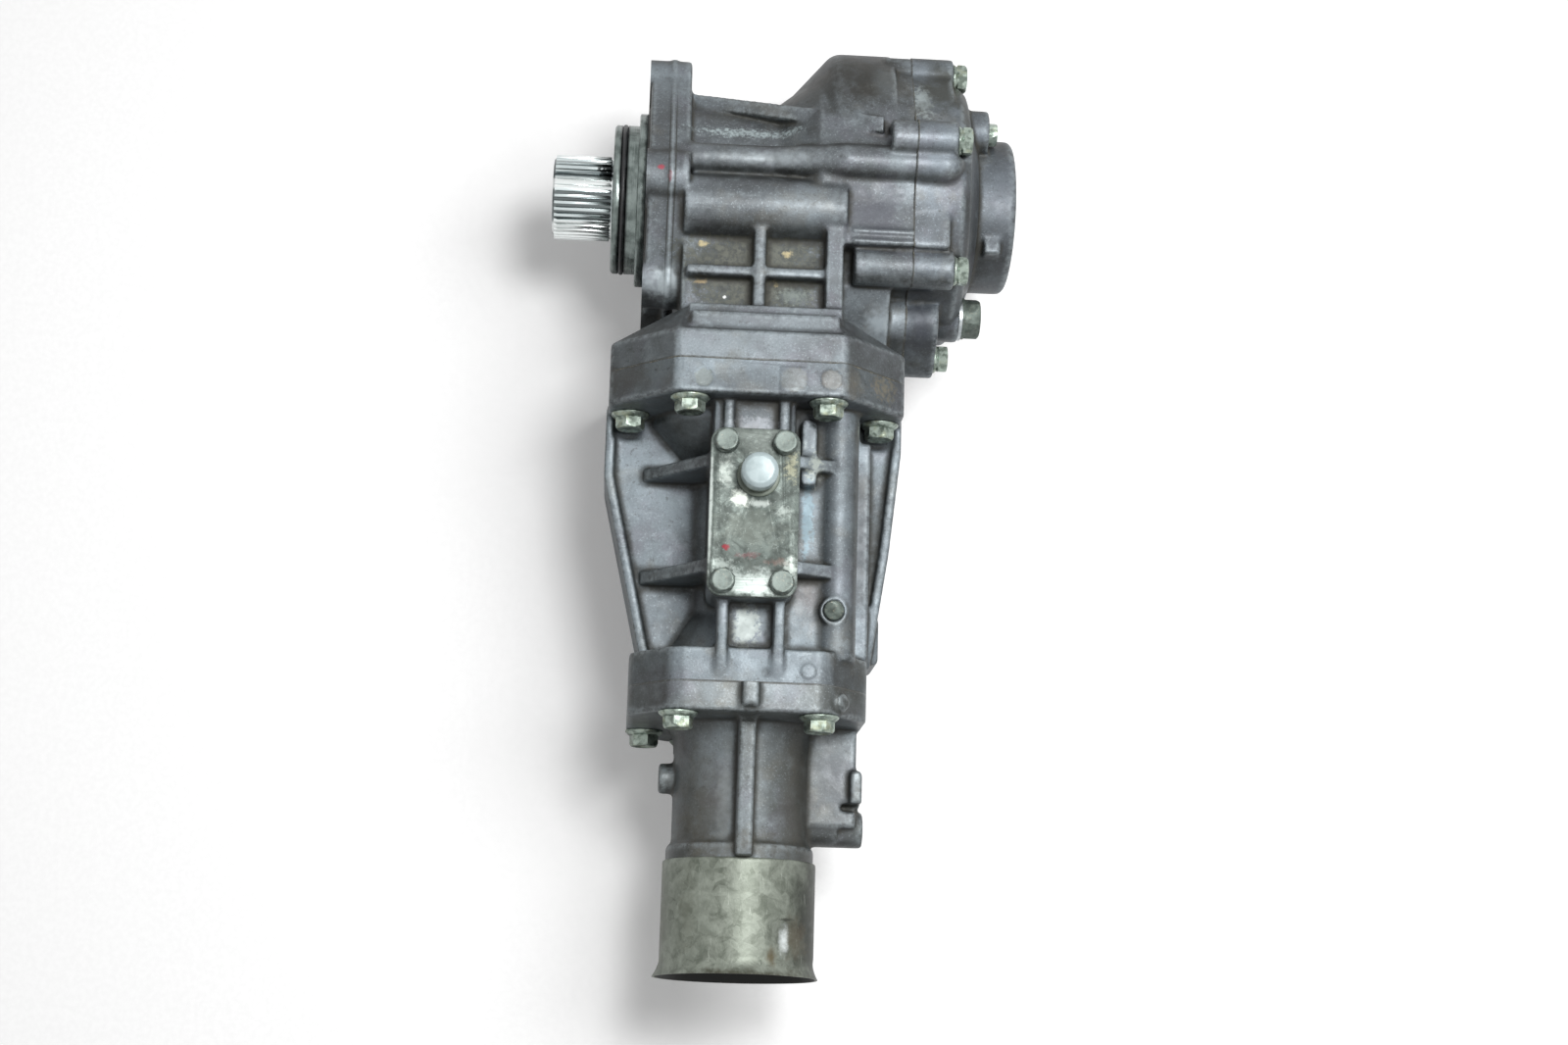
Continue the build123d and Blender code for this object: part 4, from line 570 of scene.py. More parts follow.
def make_finishes():
    """Every finish under its slot's name."""
    return {
        "cast_case": cast_aluminium("die_cast_aluminium_case", "#737b80", "#53575a", "#8f999e", 0.46,
                                    CASE_SPOTS, ((1, PARTING_Y), (0, COVER_SPLIT_X)), 0.3),
        "cast_cover": cast_aluminium("die_cast_aluminium_cover", "#6f777e", "#4f5458", "#88929a", 0.46,
                                     COVER_SPOTS, ((0, COVER_SPLIT_X),), 0.25),
        "cast_adapter": cast_aluminium("die_cast_aluminium_adapter", "#768086", "#585e62", "#8f9a9f", 0.46,
                                       ADAPTER_SPOTS, ((1, PARTING_Y), (1, TAIL_PARTING_Y)), 0.2),
        "cast_extension": cast_aluminium("greasy_die_cast_aluminium", "#767e82", "#565a59", "#8f989c", 0.42,
                                         EXTENSION_SPOTS, ((1, TAIL_PARTING_Y),), 0.35),
        "galvanised_sheet": galvanised_sheet(),
        "plate_steel": zinc_plate(),
        "zinc_fastener": zinc_steel(),
        "vent_cap": satin_cap(),
        "machined_steel": turned_steel("turned_steel", 9, "#aab2b7", "#8d969b", (0.45, 0.7, "#d3d9dc"),
                                       0.2, 1.0, 0.45),
        "seal_rubber": nitrile_rubber(),
        # Ground and honed bearing steel: the brightest metal here, with very fine lines
        "bearing_steel": plain("ground_bearing_steel", (0.4, 3.0, 0.7), 0.35, 0.7, "#b4babe", "#d2d6d9",
                               0.16, 1.0, 0.01, 0.4),
        # Case-hardened gear steel: grey-brown from the furnace, with brighter lapped flanks
        "gear_steel": plain("case_hardened_steel", (5, 4.0, 0.6), 0.38, 0.68, "#5c5a57", "#85868a",
                            0.34, 1.0, 0.05, 0.4),
        # Pressed steel with a dark phosphate coat
        "cage_steel": plain("phosphated_pressed_steel", (2, 3.0, 0.6), 0.38, 0.68, "#4c4d4c", "#6e706f",
                            0.45, 0.9, 0.04, 0.4),
        # Pressed gasket board: dark grey, dull and fibrous
        "gasket_fibre": plain("pressed_gasket_board", (0.8, 4.0, 0.75), 0.35, 0.7, "#2d2e2b", "#504f49",
                              0.8, 0.0, 0.05, 0.5),
        # Annealed aluminium washer: pale and smooth, with faint press marks
        "soft_aluminium": plain("annealed_aluminium", (1.5, 3.0, 0.6), 0.35, 0.7, "#a4abae", "#c3c8ca",
                                0.34, 1.0, 0.04, 0.4),
        # Rolled bronze bushing: brown-gold with tiny oil pockets
        "bushing_bronze": plain("rolled_bronze", (0.7, 3.0, 0.7), 0.4, 0.65, "#6e5633", "#a5864f",
                                0.36, 1.0, 0.05, 0.5),
        # Cured liquid gasket squeezed out of a joint: straw grey, dusty, with darker lumps
        "sealant": plain("cured_liquid_gasket", (1.8, 4.0, 0.7), 0.38, 0.66, "#45433a", "#7b786a",
                         0.7, 0.0, 0.2, 0.5),
        "spline": splined_steel(),
        # Spigot ring under old oil: dark green-grey
        "pilot": turned_steel("oiled_turned_steel", 8, "#87918e", "#59625f", (0.5, 0.7, "#a9b3b1"),
                              0.24, 0.9, 0.4, groove=(-10.7, 2.8)),
        "plate_screw": worn_zinc("worn_zinc_plated_steel", "#4c5450", "#6e7873"),
        "plug": worn_zinc("dull_zinc_plated_steel", "#454d48", "#606a64"),
    }


# Meshes


def slot_of(node):
    """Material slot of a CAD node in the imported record."""
    return next(part["material_slot"] for part in frame["record"]["subparts"] if part["node"] == node)


def merged(node):
    """A bmesh copy of a CAD node with its loose triangles joined."""
    made = bmesh.new()
    made.from_mesh(NODES[node].data)
    bmesh.ops.remove_doubles(made, verts=made.verts, dist=1e-6)
    return made


def to_mesh(made, name):
    """The mesh of a bmesh, which is freed."""
    mesh = bpy.data.meshes.new(name)
    made.to_mesh(mesh)
    made.free()
    return mesh


def plain_mesh(name, points, edges=(), faces=()):
    mesh = bpy.data.meshes.new(name)
    mesh.from_pydata(points, edges, faces)
    return mesh


def new_object(name, data):
    made = bpy.data.objects.new(name, data)
    bpy.context.scene.collection.objects.link(made)
    return made


def baked(source, name):
    """Mesh of an object with its modifiers applied; the object goes."""
    bpy.context.view_layer.update()
    graph = bpy.context.evaluated_depsgraph_get()
    mesh = bpy.data.meshes.new_from_object(source.evaluated_get(graph), depsgraph=graph)
    mesh.name = name
    bpy.data.objects.remove(source)
    return mesh


def publish(name, mesh, slot, body, node, finish=None):
    """Shows a mesh on its body for the CAD node that it replaces, in its slot's finish or another one."""
    mesh.materials.clear()
    mesh.materials.append(FINISHES[finish or slot])
    made = new_object(name, mesh)
    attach(made, body)
    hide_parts(node)


def smooth(mesh, degrees):
    """Smooth shading with edges kept sharp past that angle."""
    mesh.shade_smooth()
    mesh.set_sharp_from_angle(angle=radians(degrees))
    return mesh


def positions(mesh):
    flat = np.empty(len(mesh.vertices) * 3)
    mesh.vertices.foreach_get("co", flat)
    return flat.reshape(-1, 3)


class Skin:
    """A dense mesh held as arrays, so that it can be relaxed and marked."""

    def __init__(self, mesh):
        self.mesh = mesh
        self.points = positions(mesh)
        flat = np.empty(len(mesh.edges) * 2, np.int32)
        mesh.edges.foreach_get("vertices", flat)
        a, b = flat.reshape(-1, 2).T
        self.ends = np.concatenate([a, b])
        self.others = np.concatenate([b, a])
        self.count = np.bincount(self.ends, minlength=len(self.points))[:, None]

    def pull(self, points):
        """From each point to the middle of its neighbours."""
        far = points[self.others]
        total = [np.bincount(self.ends, far[:, k], len(points)) for k in range(3)]
        return np.stack(total, 1) / self.count - points

    def relaxed(self, points, passes):
        """The points after going half way to their neighbours that many times."""
        for _ in range(passes):
            points = points + 0.5 * self.pull(points)
        return points

    def store(self):
        self.mesh.vertices.foreach_set("co", self.points.ravel())
        self.mesh.update()

    def normals(self):
        flat = np.empty(len(self.mesh.vertices) * 3)
        self.store()
        self.mesh.vertex_normals.foreach_get("vector", flat)
        return flat.reshape(-1, 3)


def give_relief(mesh, points, relief):
    """Writes the relief of the nearest dense point on each vertex of the thinned mesh."""
    tree = kdtree.KDTree(len(points))
    for i, point in enumerate(points):
        tree.insert(point, i)
    tree.balance()
    values = [relief[tree.find(point)[1]] for point in positions(mesh)]
    mesh.attributes.new("relief", "FLOAT", "POINT").data.foreach_set("value", np.array(values, np.float32))


def press_marks(skin, marks):
    """Raises or sinks flat marks: centre, direction, half width, height, and whether it is square."""
    normals = skin.normals()
    for centre, direction, half, height, square in marks:
        away = skin.points - np.array(centre) * MM
        axis = np.array(direction, float)
        flat = away - np.outer(away @ axis, axis)
        reach = np.abs(flat).max(1) if square else np.linalg.norm(flat, axis=1)
        near = np.abs(away @ axis) < MARK_REACH * MM
        rise = np.clip((half * MM - reach) / (MARK_SLOPE * MM), 0, 1) * near * (normals @ axis > 0.6)
        skin.points = skin.points + np.outer(rise * height * MM, axis)


def lengthen(solid, planes):
    """Carries the faces on each parting plane outward, so that the skin rounds their edges past it."""
    for axis, at, side, _ in planes:
        faces = [face for face in solid.faces if face.normal[axis] * side > 0.9
                 and all(abs(vert.co[axis] - at * MM) < 2e-5 for vert in face.verts)]
        moved = bmesh.ops.extrude_face_region(solid, geom=faces)["geom"]
        for vert in moved:
            if isinstance(vert, bmesh.types.BMVert):
                vert.co[axis] += side * PAST_PLANE * MM
        bmesh.ops.delete(solid, geom=[face for face in faces if face.is_valid], context="FACES")


def flattened(points, planes):
    """Puts the points past each parting plane back on it, as machining does, where the test allows it."""
    for axis, at, side, where in planes:
        past = (points[:, axis] - at * MM) * side > 0
        points[past & where(points), axis] = at * MM
    return points


def cast_skin(node, name, settings, planes, marks):
    """Voxel skin of a CAD casting, relaxed to cast radii and machined flat at its parting planes, with its
    relief stored for the finish."""
    solid = merged(node)
    lengthen(solid, planes)
    source = new_object(name + "_solid", to_mesh(solid, name + "_solid"))
    remesh = source.modifiers.new("Skin", "REMESH")
    remesh.mode = "VOXEL"
    remesh.voxel_size = settings.voxel
    skin = Skin(baked(source, name + "_dense"))
    skin.points = skin.relaxed(skin.points, settings.passes)
    press_marks(skin, marks)
    # Relief: how far a wider relaxing would lift each point along its normal
    wide = skin.relaxed(skin.points, RELIEF_PASSES)
    relief = np.einsum("ij,ij->i", wide - skin.points, skin.normals()) * 1000
    skin.points = flattened(skin.points, planes)
    skin.store()
    dense = new_object(name + "_dense", skin.mesh)
    dense.modifiers.new("Join", "WELD").merge_threshold = WELD * MM
    triangles = 2 * len(skin.mesh.polygons)
    if triangles > CAST_TRIANGLES:
        thin = dense.modifiers.new("Thin", "DECIMATE")
        thin.ratio = CAST_TRIANGLES / triangles
    mesh = baked(dense, name)
    give_relief(mesh, skin.points, relief)
    return smooth(mesh, CAST_SHARP)


def edged(node, name, width, segments):
    """A CAD node with its sharp edges broken by a small round, as machining and plating leave them."""
    solid = merged(node)
    bmesh.ops.dissolve_limit(solid, angle_limit=radians(1.5), verts=solid.verts, edges=solid.edges)
    source = new_object(name + "_solid", to_mesh(solid, name + "_solid"))
    bevel = source.modifiers.new("Edges", "BEVEL")
    bevel.width = width * MM
    bevel.segments = segments
    bevel.limit_method = "ANGLE"
    bevel.angle_limit = radians(BREAK_PAST)
    bevel.harden_normals = True
    return smooth(baked(source, name), TURNED_SHARP)


def islands(node):
    """Box of each separate solid of a CAD node, as lowest and highest corner, in the order of the lowest."""
    solid = merged(node)
    left, boxes = set(solid.verts), []
    while left:
        todo, group = [left.pop()], []
        while todo:
            vert = todo.pop()
            group.append(vert.co.copy())
            for edge in vert.link_edges:
                other = edge.other_vert(vert)
                if other in left:
                    left.remove(other)
                    todo.append(other)
        low = Vector([min(p[k] for p in group) for k in range(3)])
        high = Vector([max(p[k] for p in group) for k in range(3)])
        boxes.append((low, high))
    solid.free()
    return sorted(boxes, key=lambda box: tuple(box[0]))


def joined(rings, loop):
    """Closed bmesh over rings of points: the last ring meets the first, or both ends are capped."""
    made = bmesh.new()
    rings = [[made.verts.new(point) for point in ring] for ring in rings]
    for low, high in zip(rings, rings[1:] + rings[:loop]):
        for i in range(len(low)):
            j = (i + 1) % len(low)
            made.faces.new((low[i], low[j], high[j], high[i]))
    if not loop:
        made.faces.new(reversed(rings[0]))
        made.faces.new(rings[-1])
    bmesh.ops.recalc_face_normals(made, faces=made.faces)
    return made


def turns(steps):
    return [2 * pi * step / steps for step in range(steps)]


def hex_radius(flats, angle):
    """Distance from the middle of a hexagon to its side in a direction."""
    turn = (angle % (pi / 3)) - pi / 6
    return flats / 2 / cos(turn)


def bolt_mesh(name, shank, flats, head, flange, dish, length):
    """Flange bolt on Z, seat at 0: threaded shank, dished flange, chamfered hexagon with a shallow dish."""
    skirt = head * 0.2
    rows = [(-length, shank - 0.9, 0), (-length + 0.9, shank, 0)]
    z = -length + 1.2
    while z < -2.5:
        rows += [(z, shank, 0), (z + THREAD_PITCH * 0.5, shank - THREAD_DEPTH, 0)]
        z += THREAD_PITCH
    edge = flats / 2
    rows += [(-0.05, shank, 0), (0.0, shank + 0.3, 0), (0.0, flange - 0.35, 0), (0.25, flange - 0.05, 0),
             (0.6, flange, 0), (0.95, flange - 0.15, 0), (skirt + 0.5, flange * 0.86, 0),
             (skirt + 1.0, edge * 1.16, 1), (skirt + 1.5, edge * 1.155, 1),
             (head - 1.5, edge * 1.155, 1), (head - 1.0, edge * 1.13, 1), (head - 0.45, edge * 1.06, 1),
             (head - 0.1, edge * 0.985, 1), (head, edge * 0.9, 1), (head - 0.1 * dish, edge * 0.8, 0),
             (head - 0.6 * dish, edge * 0.66, 0), (head - 0.95 * dish, edge * 0.4, 0),
             (head - dish, edge * 0.05, 0)]

    def point(row, angle):
        z, radius, hexagonal = row
        if hexagonal:
            radius = min(radius, hex_radius(flats, angle))
        return radius * cos(angle) * MM, radius * sin(angle) * MM, z * MM

    rings = [[point(row, angle) for angle in turns(HEX_STEPS)] for row in rows]
    return smooth(to_mesh(joined(rings, False), name), BOLT_SHARP)


def node_group(name, inputs, output):
    """A Geometry Nodes tree with its sockets, and what its input node gives."""
    tree = bpy.data.node_groups.new(name, "GeometryNodeTree")
    for label, kind in inputs.items():
        tree.interface.new_socket(label, in_out="INPUT", socket_type="NodeSocket" + kind)
    tree.interface.new_socket(output, in_out="OUTPUT", socket_type="NodeSocketGeometry")
    return tree, add(tree, "NodeGroupInput")


def close_group(tree, geometry, material, output):
    """Makes the geometry real, gives it its material and leads it out."""
    real = add(tree, "GeometryNodeRealizeInstances", {0: geometry})[0]
    done = add(tree, "GeometryNodeSetMaterial", {"Geometry": real, "Material": material})[0]
    add(tree, "NodeGroupOutput", {output: done})
    return tree


def bolt_tree():
    """Geometry Nodes: one bolt on each point, turned about its axis by a seeded amount."""
    inputs = {"Places": "Geometry", "Bolt": "Object", "Axis": "Vector", "Size": "Float", "Seed": "Int",
              "Finish": "Material"}
    tree, given = node_group("bolts_on_points", inputs, "Bolts")
    bolt = add(tree, "GeometryNodeObjectInfo", {"Object": given["Bolt"]})["Geometry"]
    turn = add(tree, "FunctionNodeRandomValue", {2: 0.0, 3: 2 * pi, "Seed": given["Seed"]},
               data_type="FLOAT")
    spin = add(tree, "ShaderNodeCombineXYZ", {"Z": turn[1]})[0]
    spin = add(tree, "FunctionNodeEulerToRotation", {0: spin})[0]
    axis = add(tree, "FunctionNodeEulerToRotation", {0: given["Axis"]})[0]
    both = add(tree, "FunctionNodeRotateRotation", {0: axis, 1: spin}, rotation_space="LOCAL")[0]
    placed = add(tree, "GeometryNodeInstanceOnPoints", {"Points": given["Places"], "Instance": bolt,
                                                        "Rotation": both, "Scale": given["Size"]})[0]
    return close_group(tree, placed, given["Finish"], "Bolts")


def bead_tree():
    """Geometry Nodes: an uneven bead of sealant along a path, thick and thin by noise."""
    inputs = {"Path": "Geometry", "Radius": "Float", "Spacing": "Float", "Lump Size": "Float",
              "Seed": "Float", "Finish": "Material"}
    tree, given = node_group("bead_on_path", inputs, "Bead")
    path = add(tree, "GeometryNodeMeshToCurve", {0: given["Path"]})[0]
    path = add(tree, "GeometryNodeResampleCurve", {"Curve": path, "Length": given["Spacing"]},
               mode="LENGTH")[0]
    scale = add(tree, "ShaderNodeMath", {0: 1.0, 1: given["Lump Size"]}, operation="DIVIDE")[0]
    lumps = add(tree, "ShaderNodeTexNoise", {"W": given["Seed"], "Scale": scale, "Detail": 3.0},
                noise_dimensions="4D")["Fac"]
    thick = add(tree, "ShaderNodeMapRange", {"Value": lumps, 1: 0.48, 2: 0.7, 3: 0.05, 4: 1.0})[0]
    thick = add(tree, "ShaderNodeMath", {0: thick, 1: given["Radius"]}, operation="MULTIPLY")[0]
    ring = add(tree, "GeometryNodeCurvePrimitiveCircle", {"Resolution": 8, "Radius": 1.0})[0]
    bead = add(tree, "GeometryNodeCurveToMesh", {"Curve": path, "Profile Curve": ring, "Scale": thick,
                                                 "Fill Caps": True})[0]
    bead = add(tree, "GeometryNodeSetShadeSmooth", {0: bead})[0]
    return close_group(tree, bead, given["Finish"], "Bead")


def grown(tree, source, name, values):
    """Runs a node tree on an object with its inputs set by name, and gives the plain mesh."""
    modifier = source.modifiers.new("Grow", "NODES")
    modifier.node_group = tree
    for item in tree.interface.items_tree:
        if item.in_out == "INPUT" and item.name in values:
            modifier[item.identifier] = values[item.name]
    return baked(source, name)


def section(node, point, normal):
    """Longest loop of a CAD node's cut by a plane, as points in order."""
    solid = merged(node)
    cut = bmesh.ops.bisect_plane(solid, geom=solid.verts[:] + solid.edges[:] + solid.faces[:],
                                 plane_co=Vector(point) * MM, plane_no=normal)["geom_cut"]
    # A dict keeps the order of the cut, so that the loops start at the same place in each run
    left = dict.fromkeys(edge for edge in cut if isinstance(edge, bmesh.types.BMEdge))
    loops = []
    while left:
        step = left.popitem()[0]
        loop = [step.verts[0]]
        while step:
            loop.append(step.other_vert(loop[-1]))
            left.pop(step, None)
            step = next((edge for edge in loop[-1].link_edges if edge in left), None)
        loops.append([v.co.copy() for v in loop])
    solid.free()
    return max(loops, key=lambda loop: sum((a - b).length for a, b in zip(loop, loop[1:])))


# Operators, one for each piece or group of like pieces


def amount(label, about, default, **more):
    return bpy.props.FloatProperty(name=label, description=about, default=default, **more)


def count(label, about, default):
    return bpy.props.IntProperty(name=label, description=about, default=default)


class CastingSettings(bpy.types.PropertyGroup):
    voxel: amount("Voxel", "Cell of the casting skin", 0.75 * MM, unit="LENGTH")
    passes: count("Radius passes", "Relaxing passes that round the edges", 9)


class BoltSettings(bpy.types.PropertyGroup):
    flats: amount("Across flats", "Hexagon width, mm", 12.0)
    flange: amount("Flange radius", "Radius of the flange, mm", 8.9)
    head: amount("Head height", "Seat to top, mm", 7.6)
    seed: count("Seed", "Turns of the heads", 4)


class SealantSettings(bpy.types.PropertyGroup):
    radius: amount("Bead radius", "Thickest radius of the bead", 0.4 * MM, unit="LENGTH")


class StudioSettings(bpy.types.PropertyGroup):
    world: amount("Room light", "Strength of the room on dull surfaces", 0.28)
    key: amount("Key light", "Power of the soft light above", 9.0, unit="POWER")
    side: amount("Side light", "Power of the light that throws the shadow", 6.0, unit="POWER")
    backdrop: bpy.props.FloatVectorProperty(name="Backdrop", description="Colour behind the part",
                                            subtype="COLOR", size=3, default=(1.0, 1.0, 1.0))


class TRANSFER_OT_stage(bpy.types.Operator):
    """Camera, floor, lamps and world"""

    bl_idname = "transfer.stage"
    bl_label = "Stage"

    def execute(self, context):
        settings = context.scene.transfer_studio
        scene = context.scene
        scene.view_settings.view_transform = "Standard"
        back = Vector((-tan(radians(LEAN_X)), -tan(radians(LEAN_Y)), 1.0)).normalized()
        level = Vector((0, 1, 0)).cross(back).normalized()
        up = back.cross(level)
        turn = radians(ROLL)
        right = level * cos(turn) + up * sin(turn)
        top = up * cos(turn) - level * sin(turn)
        camera = new_object("camera", bpy.data.cameras.new("camera"))
        camera.data.sensor_width = SENSOR
        camera.data.lens = LENS
        camera.data.clip_start = 0.01
        turned = Matrix((right, top, back)).transposed().to_4x4()
        camera.matrix_world = Matrix.Translation(LOOK_AT + back * DISTANCE) @ turned
        scene.camera = camera

        corners = [(x * FLOOR_HALF, y * FLOOR_HALF, CAD_BOX[0][2])
                   for x, y in ((-1, -1), (1, -1), (1, 1), (-1, 1))]
        mesh = plain_mesh("floor", corners, faces=[(0, 1, 2, 3)])
        mesh.materials.append(pale_floor())
        new_object("floor", mesh)

        self.lamp("key_softbox", KEY_AT, settings.key, KEY_SIZE)
        side = self.lamp("side_softbox", SIDE_AT, settings.side, SIDE_SIZE)
        side.visible_glossy = False

        scene.world = bpy.data.worlds.new("studio")
        scene.world.use_nodes = True
        tree = scene.world.node_tree
        tree.nodes.clear()
        rays = add(tree, "ShaderNodeLightPath")
        shown = rays["Is Camera Ray"]
        for kind in ("Is Glossy Ray", "Is Transmission Ray"):
            shown = add(tree, "ShaderNodeMath", {0: shown, 1: rays[kind]}, operation="MAXIMUM")[0]
        strength = add(tree, "ShaderNodeMapRange", {"Value": shown, 3: settings.world, 4: 1.0})[0]
        light = add(tree, "ShaderNodeBackground", {"Color": (*settings.backdrop, 1.0), "Strength": strength})
        add(tree, "ShaderNodeOutputWorld", {"Surface": light[0]})
        return {"FINISHED"}

    def lamp(self, name, place, power, size):
        """A square lamp that points at what the camera looks at."""
        data = bpy.data.lights.new(name, "AREA")
        data.energy = power
        data.size = size
        made = new_object(name, data)
        made.location = place
        made.rotation_euler = (Vector(place) - LOOK_AT).to_track_quat("Z", "Y").to_euler()
        return made


UP = (0, 0, 1)
ADAPTER_MARKS = [
    ((29.5, -108.0, 72.0), UP, 4.6, -0.3, False),
    ((69.5, -107.3, 72.0), UP, 6.3, 0.35, True),
    ((86.5, -106.6, 72.0), UP, 5.2, 0.35, False),
    ((60.9, -238.0, 58.0), UP, 2.6, -0.3, False),
    ((80.3, -236.7, 58.0), UP, 3.8, 0.35, False),
]


def anywhere(points):
    return np.ones(len(points), bool)


def round_input(low, high):
    """Test for the points between two radii about the input axis."""
    def test(points):
        away = np.hypot(points[:, 1], points[:, 2])
        return (away > low * MM) & (away < high * MM)
    return test


# Each casting: CAD node, piece, marks, and its parting planes (axis, place, outward side, where they hold)
CASTINGS = (
    ("main_case", "main_case_casting", (), ((1, PARTING_Y, -1, anywhere), (0, COVER_SPLIT_X, 1, anywhere),
                                            (0, 0.0, -1, round_input(0, 82)))),
    ("side_cover", "side_cover_casting", (), ((0, COVER_SPLIT_X, -1, round_input(58.2, 500)),)),
    ("adapter_housing", "adapter_casting", ADAPTER_MARKS,
     ((1, PARTING_Y, 1, anywhere), (1, TAIL_PARTING_Y, -1, anywhere))),
    ("extension_housing", "extension_casting", (), ((1, TAIL_PARTING_Y, 1, anywhere),)),
)


class TRANSFER_OT_castings(bpy.types.Operator):
    """The four castings with their cast radii and as-cast finish"""

    bl_idname = "transfer.castings"
    bl_label = "Castings"

    def execute(self, context):
        settings = context.scene.transfer_castings
        for node, name, marks, planes in CASTINGS:
            publish(name, cast_skin(node, name, settings, planes, marks), slot_of(node), "casing", node)
        return {"FINISHED"}


class TRANSFER_OT_bolts(bpy.types.Operator):
    """Flange bolts of the castings and the plate"""

    bl_idname = "transfer.bolts"
    bl_label = "Bolts"

    def execute(self, context):
        settings = context.scene.transfer_bolts
        tree = bolt_tree()
        away = (radians(90), 0.0, 0.0)
        right = (0.0, radians(90), 0.0)
        flange = (4.0, settings.flats, settings.head, settings.flange, 0.8)
        low_flange = (4.0, settings.flats, 6.8, 6.9, 0.8)
        small = (3.0, 10.0, 4.6, 5.6, 0.15)
        # Node, axis and outward side, turn of the head, its sizes as in bolt_mesh, finish
        for node, (k, sign), turn, sizes, finish in (
            ("adapter_bolts", (1, -1), away, flange, "zinc_fastener"),
            ("extension_bolts", (1, -1), away, flange, "zinc_fastener"),
            ("cover_bolts", (0, 1), right, low_flange, "zinc_fastener"),
            ("plate_bolts", (2, 1), (0.0, 0.0, 0.0), small, "plate_screw"),
        ):
            places, lengths = [], []
            for low, high in islands(node):
                place = (low + high) / 2
                place[k] = high[k] - sizes[2] * MM if sign > 0 else low[k] + sizes[2] * MM
                places.append(place)
                lengths.append((high[k] - low[k]) / MM - sizes[2])
            name = node + "_detailed"
            bolt = new_object(name + "_one", bolt_mesh(name + "_one", *sizes, min(lengths)))
            points = new_object(name + "_places", plain_mesh(name + "_places", places))
            mesh = grown(tree, points, name,
                         {"Bolt": bolt, "Axis": turn, "Size": 1.0, "Seed": settings.seed,
                          "Finish": FINISHES[finish]})
            bpy.data.objects.remove(bolt)
            publish(name, mesh, "zinc_fastener", "casing", node, finish=finish)
        return {"FINISHED"}


# Dent of the guard and the fold beside it: rise, direction from the top and its spread, place and its spread
DENTS = ((-2.3, 0.6, 0.17, 351, 8.5), (0.5, 0.36, 0.07, 350, 9.0))


def bell(away, width):
    """A bell curve of height 1."""
    return float(np.exp(-(away / width) ** 2))


class TRANSFER_OT_dust_guard(bpy.types.Operator):
    """Drawn sheet sleeve on the tail, with its dent and bent lip"""

    bl_idname = "transfer.dust_guard"
    bl_label = "Dust guard"

    def execute(self, context):
        length = GUARD_END - GUARD_START
        places = [GUARD_START + length * i / GUARD_RINGS for i in range(GUARD_RINGS + 1)]
        rows = [(along, self.radius(along) + GUARD_WALL) for along in places]
        outer = [(GUARD_START, GUARD_INNER_R + 0.55), (GUARD_START + 0.35, GUARD_INNER_R + 1.0)] + rows[1:]
        inner = [(along, radius - GUARD_WALL) for along, radius in reversed(rows)]
        rings = [[self.point(*row, angle) for angle in turns(GUARD_STEPS)] for row in outer + inner]
        mesh = smooth(to_mesh(joined(rings, True), "dust_guard_sleeve"), SHEET_SHARP)
        publish("dust_guard_sleeve", mesh, "galvanised_sheet", "casing", "dust_guard")
        return {"FINISHED"}

    def point(self, along, radius, angle):
        r = radius + self.bent(along, angle)
        end = along - self.cut_back(along, angle)
        return (OUT_X + r * sin(angle)) * MM, -end * MM, r * cos(angle) * MM

    @staticmethod
    def radius(along):
        """Inner radius: straight, then flared at the mouth."""
        over = max(0.0, along - (GUARD_END - GUARD_LIP)) / GUARD_LIP
        return GUARD_INNER_R + GUARD_FLARE * over**1.6

    @staticmethod
    def cut_back(along, angle):
        """How far the bent mouth stands back at its top."""
        return 2.0 * max(0.0, (along - 350) / 20) * (0.5 + 0.5 * cos(angle))

    @staticmethod
    def bent(along, angle):
        """The dent and its fold, kept off the seat of the sleeve, and a wave in the lip."""
        free = min(1.0, max(0.0, (along - 336) / 12))
        dents = sum(rise * bell(angle - turn, spread) * bell(along - place, length)
                    for rise, turn, spread, place, length in DENTS)
        lip = max(0.0, along - 360) / 10
        wave = lip * (0.35 * sin(3 * angle + 0.6) + 0.2 * sin(7 * angle)) - 0.5 * lip
        return free * dents + wave


# CAD nodes with broken edges: piece, width of the round, its segments, and a finish other than the slot's
EDGED = (
    ("access_plate", "access_plate_sheet", 0.45, 3, None),
    ("plate_gasket", "plate_gasket_board", 0.15, 1, None),
    ("breather_cap", "breather_cap_moulding", 0.5, 3, None),
    ("drain_plug", "drain_plug_turned", 0.5, 2, "plug"),
    ("fill_plug", "fill_plug_turned", 0.5, 2, "plug"),
    ("gallery_plug", "gallery_plug_turned", 0.5, 2, "plug"),
    ("lug_bolt", "lug_bolt_turned", 0.3, 2, None),
    ("pilot_ring", "pilot_ring_turned", 0.3, 2, "pilot"),
    ("input_shaft", "input_shaft_splined", 0.22, 2, "spline"),
)


class TRANSFER_OT_turned(bpy.types.Operator):
    """Plate, cap, plugs, pilot ring and splined shaft with broken edges"""

    bl_idname = "transfer.turned"
    bl_label = "Plate, plugs and shaft"

    def execute(self, context):
        for node, name, width, segments, finish in EDGED:
            publish(name, edged(node, name, width, segments), slot_of(node), NODES[node]["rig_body"], node,
                    finish=finish)
        return {"FINISHED"}


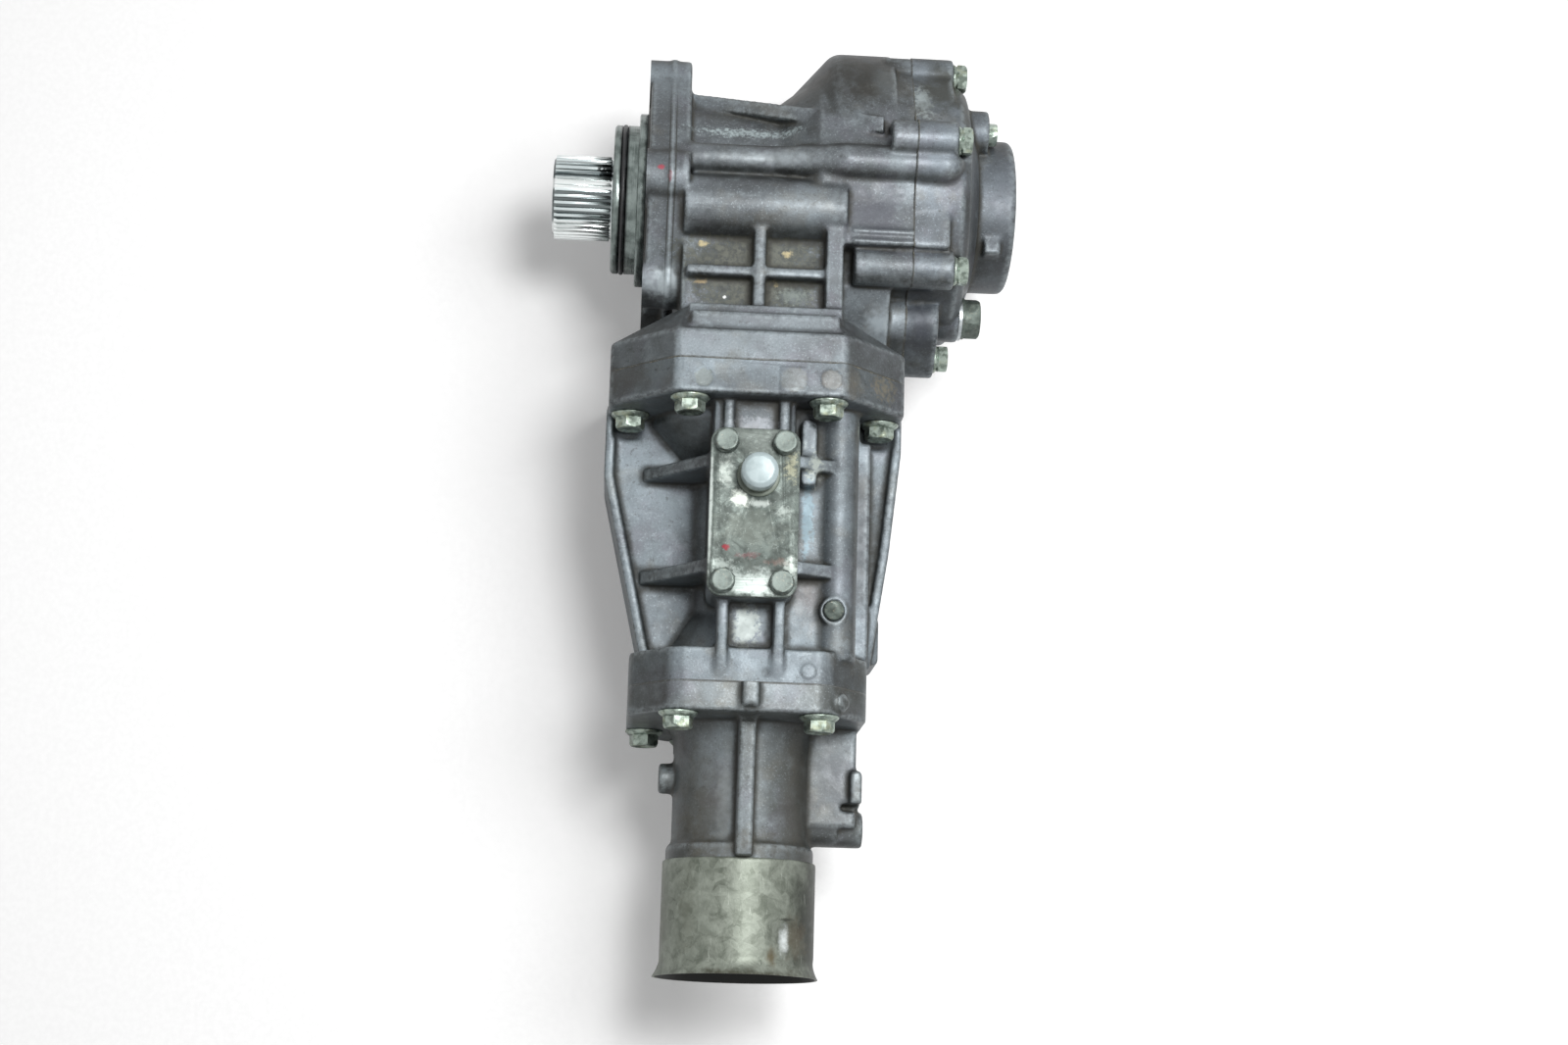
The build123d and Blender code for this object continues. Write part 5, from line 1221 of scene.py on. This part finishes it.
class TRANSFER_OT_sealant(bpy.types.Operator):
    """Beads of liquid gasket at the two parting lines"""

    bl_idname = "transfer.sealant"
    bl_label = "Sealant"

    def execute(self, context):
        settings = context.scene.transfer_sealant
        tree = bead_tree()
        for name, node, point, normal, seed in (
            ("case_parting_bead", "adapter_housing", (0, PARTING_Y - 0.3, 0), (0, 1, 0), 2.0),
            ("cover_parting_bead", "side_cover", (COVER_SPLIT_X + 0.3, 0, 0), (1, 0, 0), 5.0),
        ):
            loop = section(node, point, normal)
            line = plain_mesh(name + "_path", loop, [(i, i + 1) for i in range(len(loop) - 1)])
            mesh = grown(tree, new_object(name + "_path", line), name,
                         {"Radius": settings.radius, "Spacing": BEAD_SPACING * MM,
                          "Lump Size": BEAD_LUMP * MM, "Seed": seed, "Finish": FINISHES["seal_rubber"]})
            mesh.materials.clear()
            mesh.materials.append(FINISHES["sealant"])
            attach(new_object(name, mesh), "casing")
        return {"FINISHED"}


class TRANSFER_OT_finishes(bpy.types.Operator):
    """Finishes of the CAD nodes that stay as they are"""

    bl_idname = "transfer.finishes"
    bl_label = "Finishes"

    def execute(self, context):
        for node, piece in NODES.items():
            piece.data.materials.clear()
            piece.data.materials.append(FINISHES[slot_of(node)])
        return {"FINISHED"}


class TRANSFER_PT_panel(bpy.types.Panel):
    """Lists the steps that dress the transfer case"""

    bl_idname = "TRANSFER_PT_panel"
    bl_label = "Transfer case"
    bl_space_type = "VIEW_3D"
    bl_region_type = "UI"
    bl_category = "Transfer case"

    def draw(self, context):
        for step in STEPS:
            self.layout.operator(step.bl_idname)


FINISHES = {}
STEPS = (TRANSFER_OT_finishes, TRANSFER_OT_castings, TRANSFER_OT_bolts, TRANSFER_OT_dust_guard,
         TRANSFER_OT_turned, TRANSFER_OT_sealant, TRANSFER_OT_stage)
SETTINGS = (("transfer_castings", CastingSettings), ("transfer_bolts", BoltSettings),
            ("transfer_sealant", SealantSettings), ("transfer_studio", StudioSettings))


def register():
    for name, group in SETTINGS:
        bpy.utils.register_class(group)
        setattr(bpy.types.Scene, name, bpy.props.PointerProperty(type=group))
    for step in (*STEPS, TRANSFER_PT_panel):
        bpy.utils.register_class(step)


def unregister():
    for step in (TRANSFER_PT_panel, *STEPS):
        bpy.utils.unregister_class(step)
    for name, group in SETTINGS:
        delattr(bpy.types.Scene, name)
        bpy.utils.unregister_class(group)


def main():
    register()
    FINISHES.update(make_finishes())
    bpy.ops.transfer.finishes()
    bpy.ops.transfer.castings()
    bpy.ops.transfer.bolts()
    bpy.ops.transfer.dust_guard()
    bpy.ops.transfer.turned()
    bpy.ops.transfer.sealant()
    bpy.ops.transfer.stage()


if __name__ == "__main__":
    main()
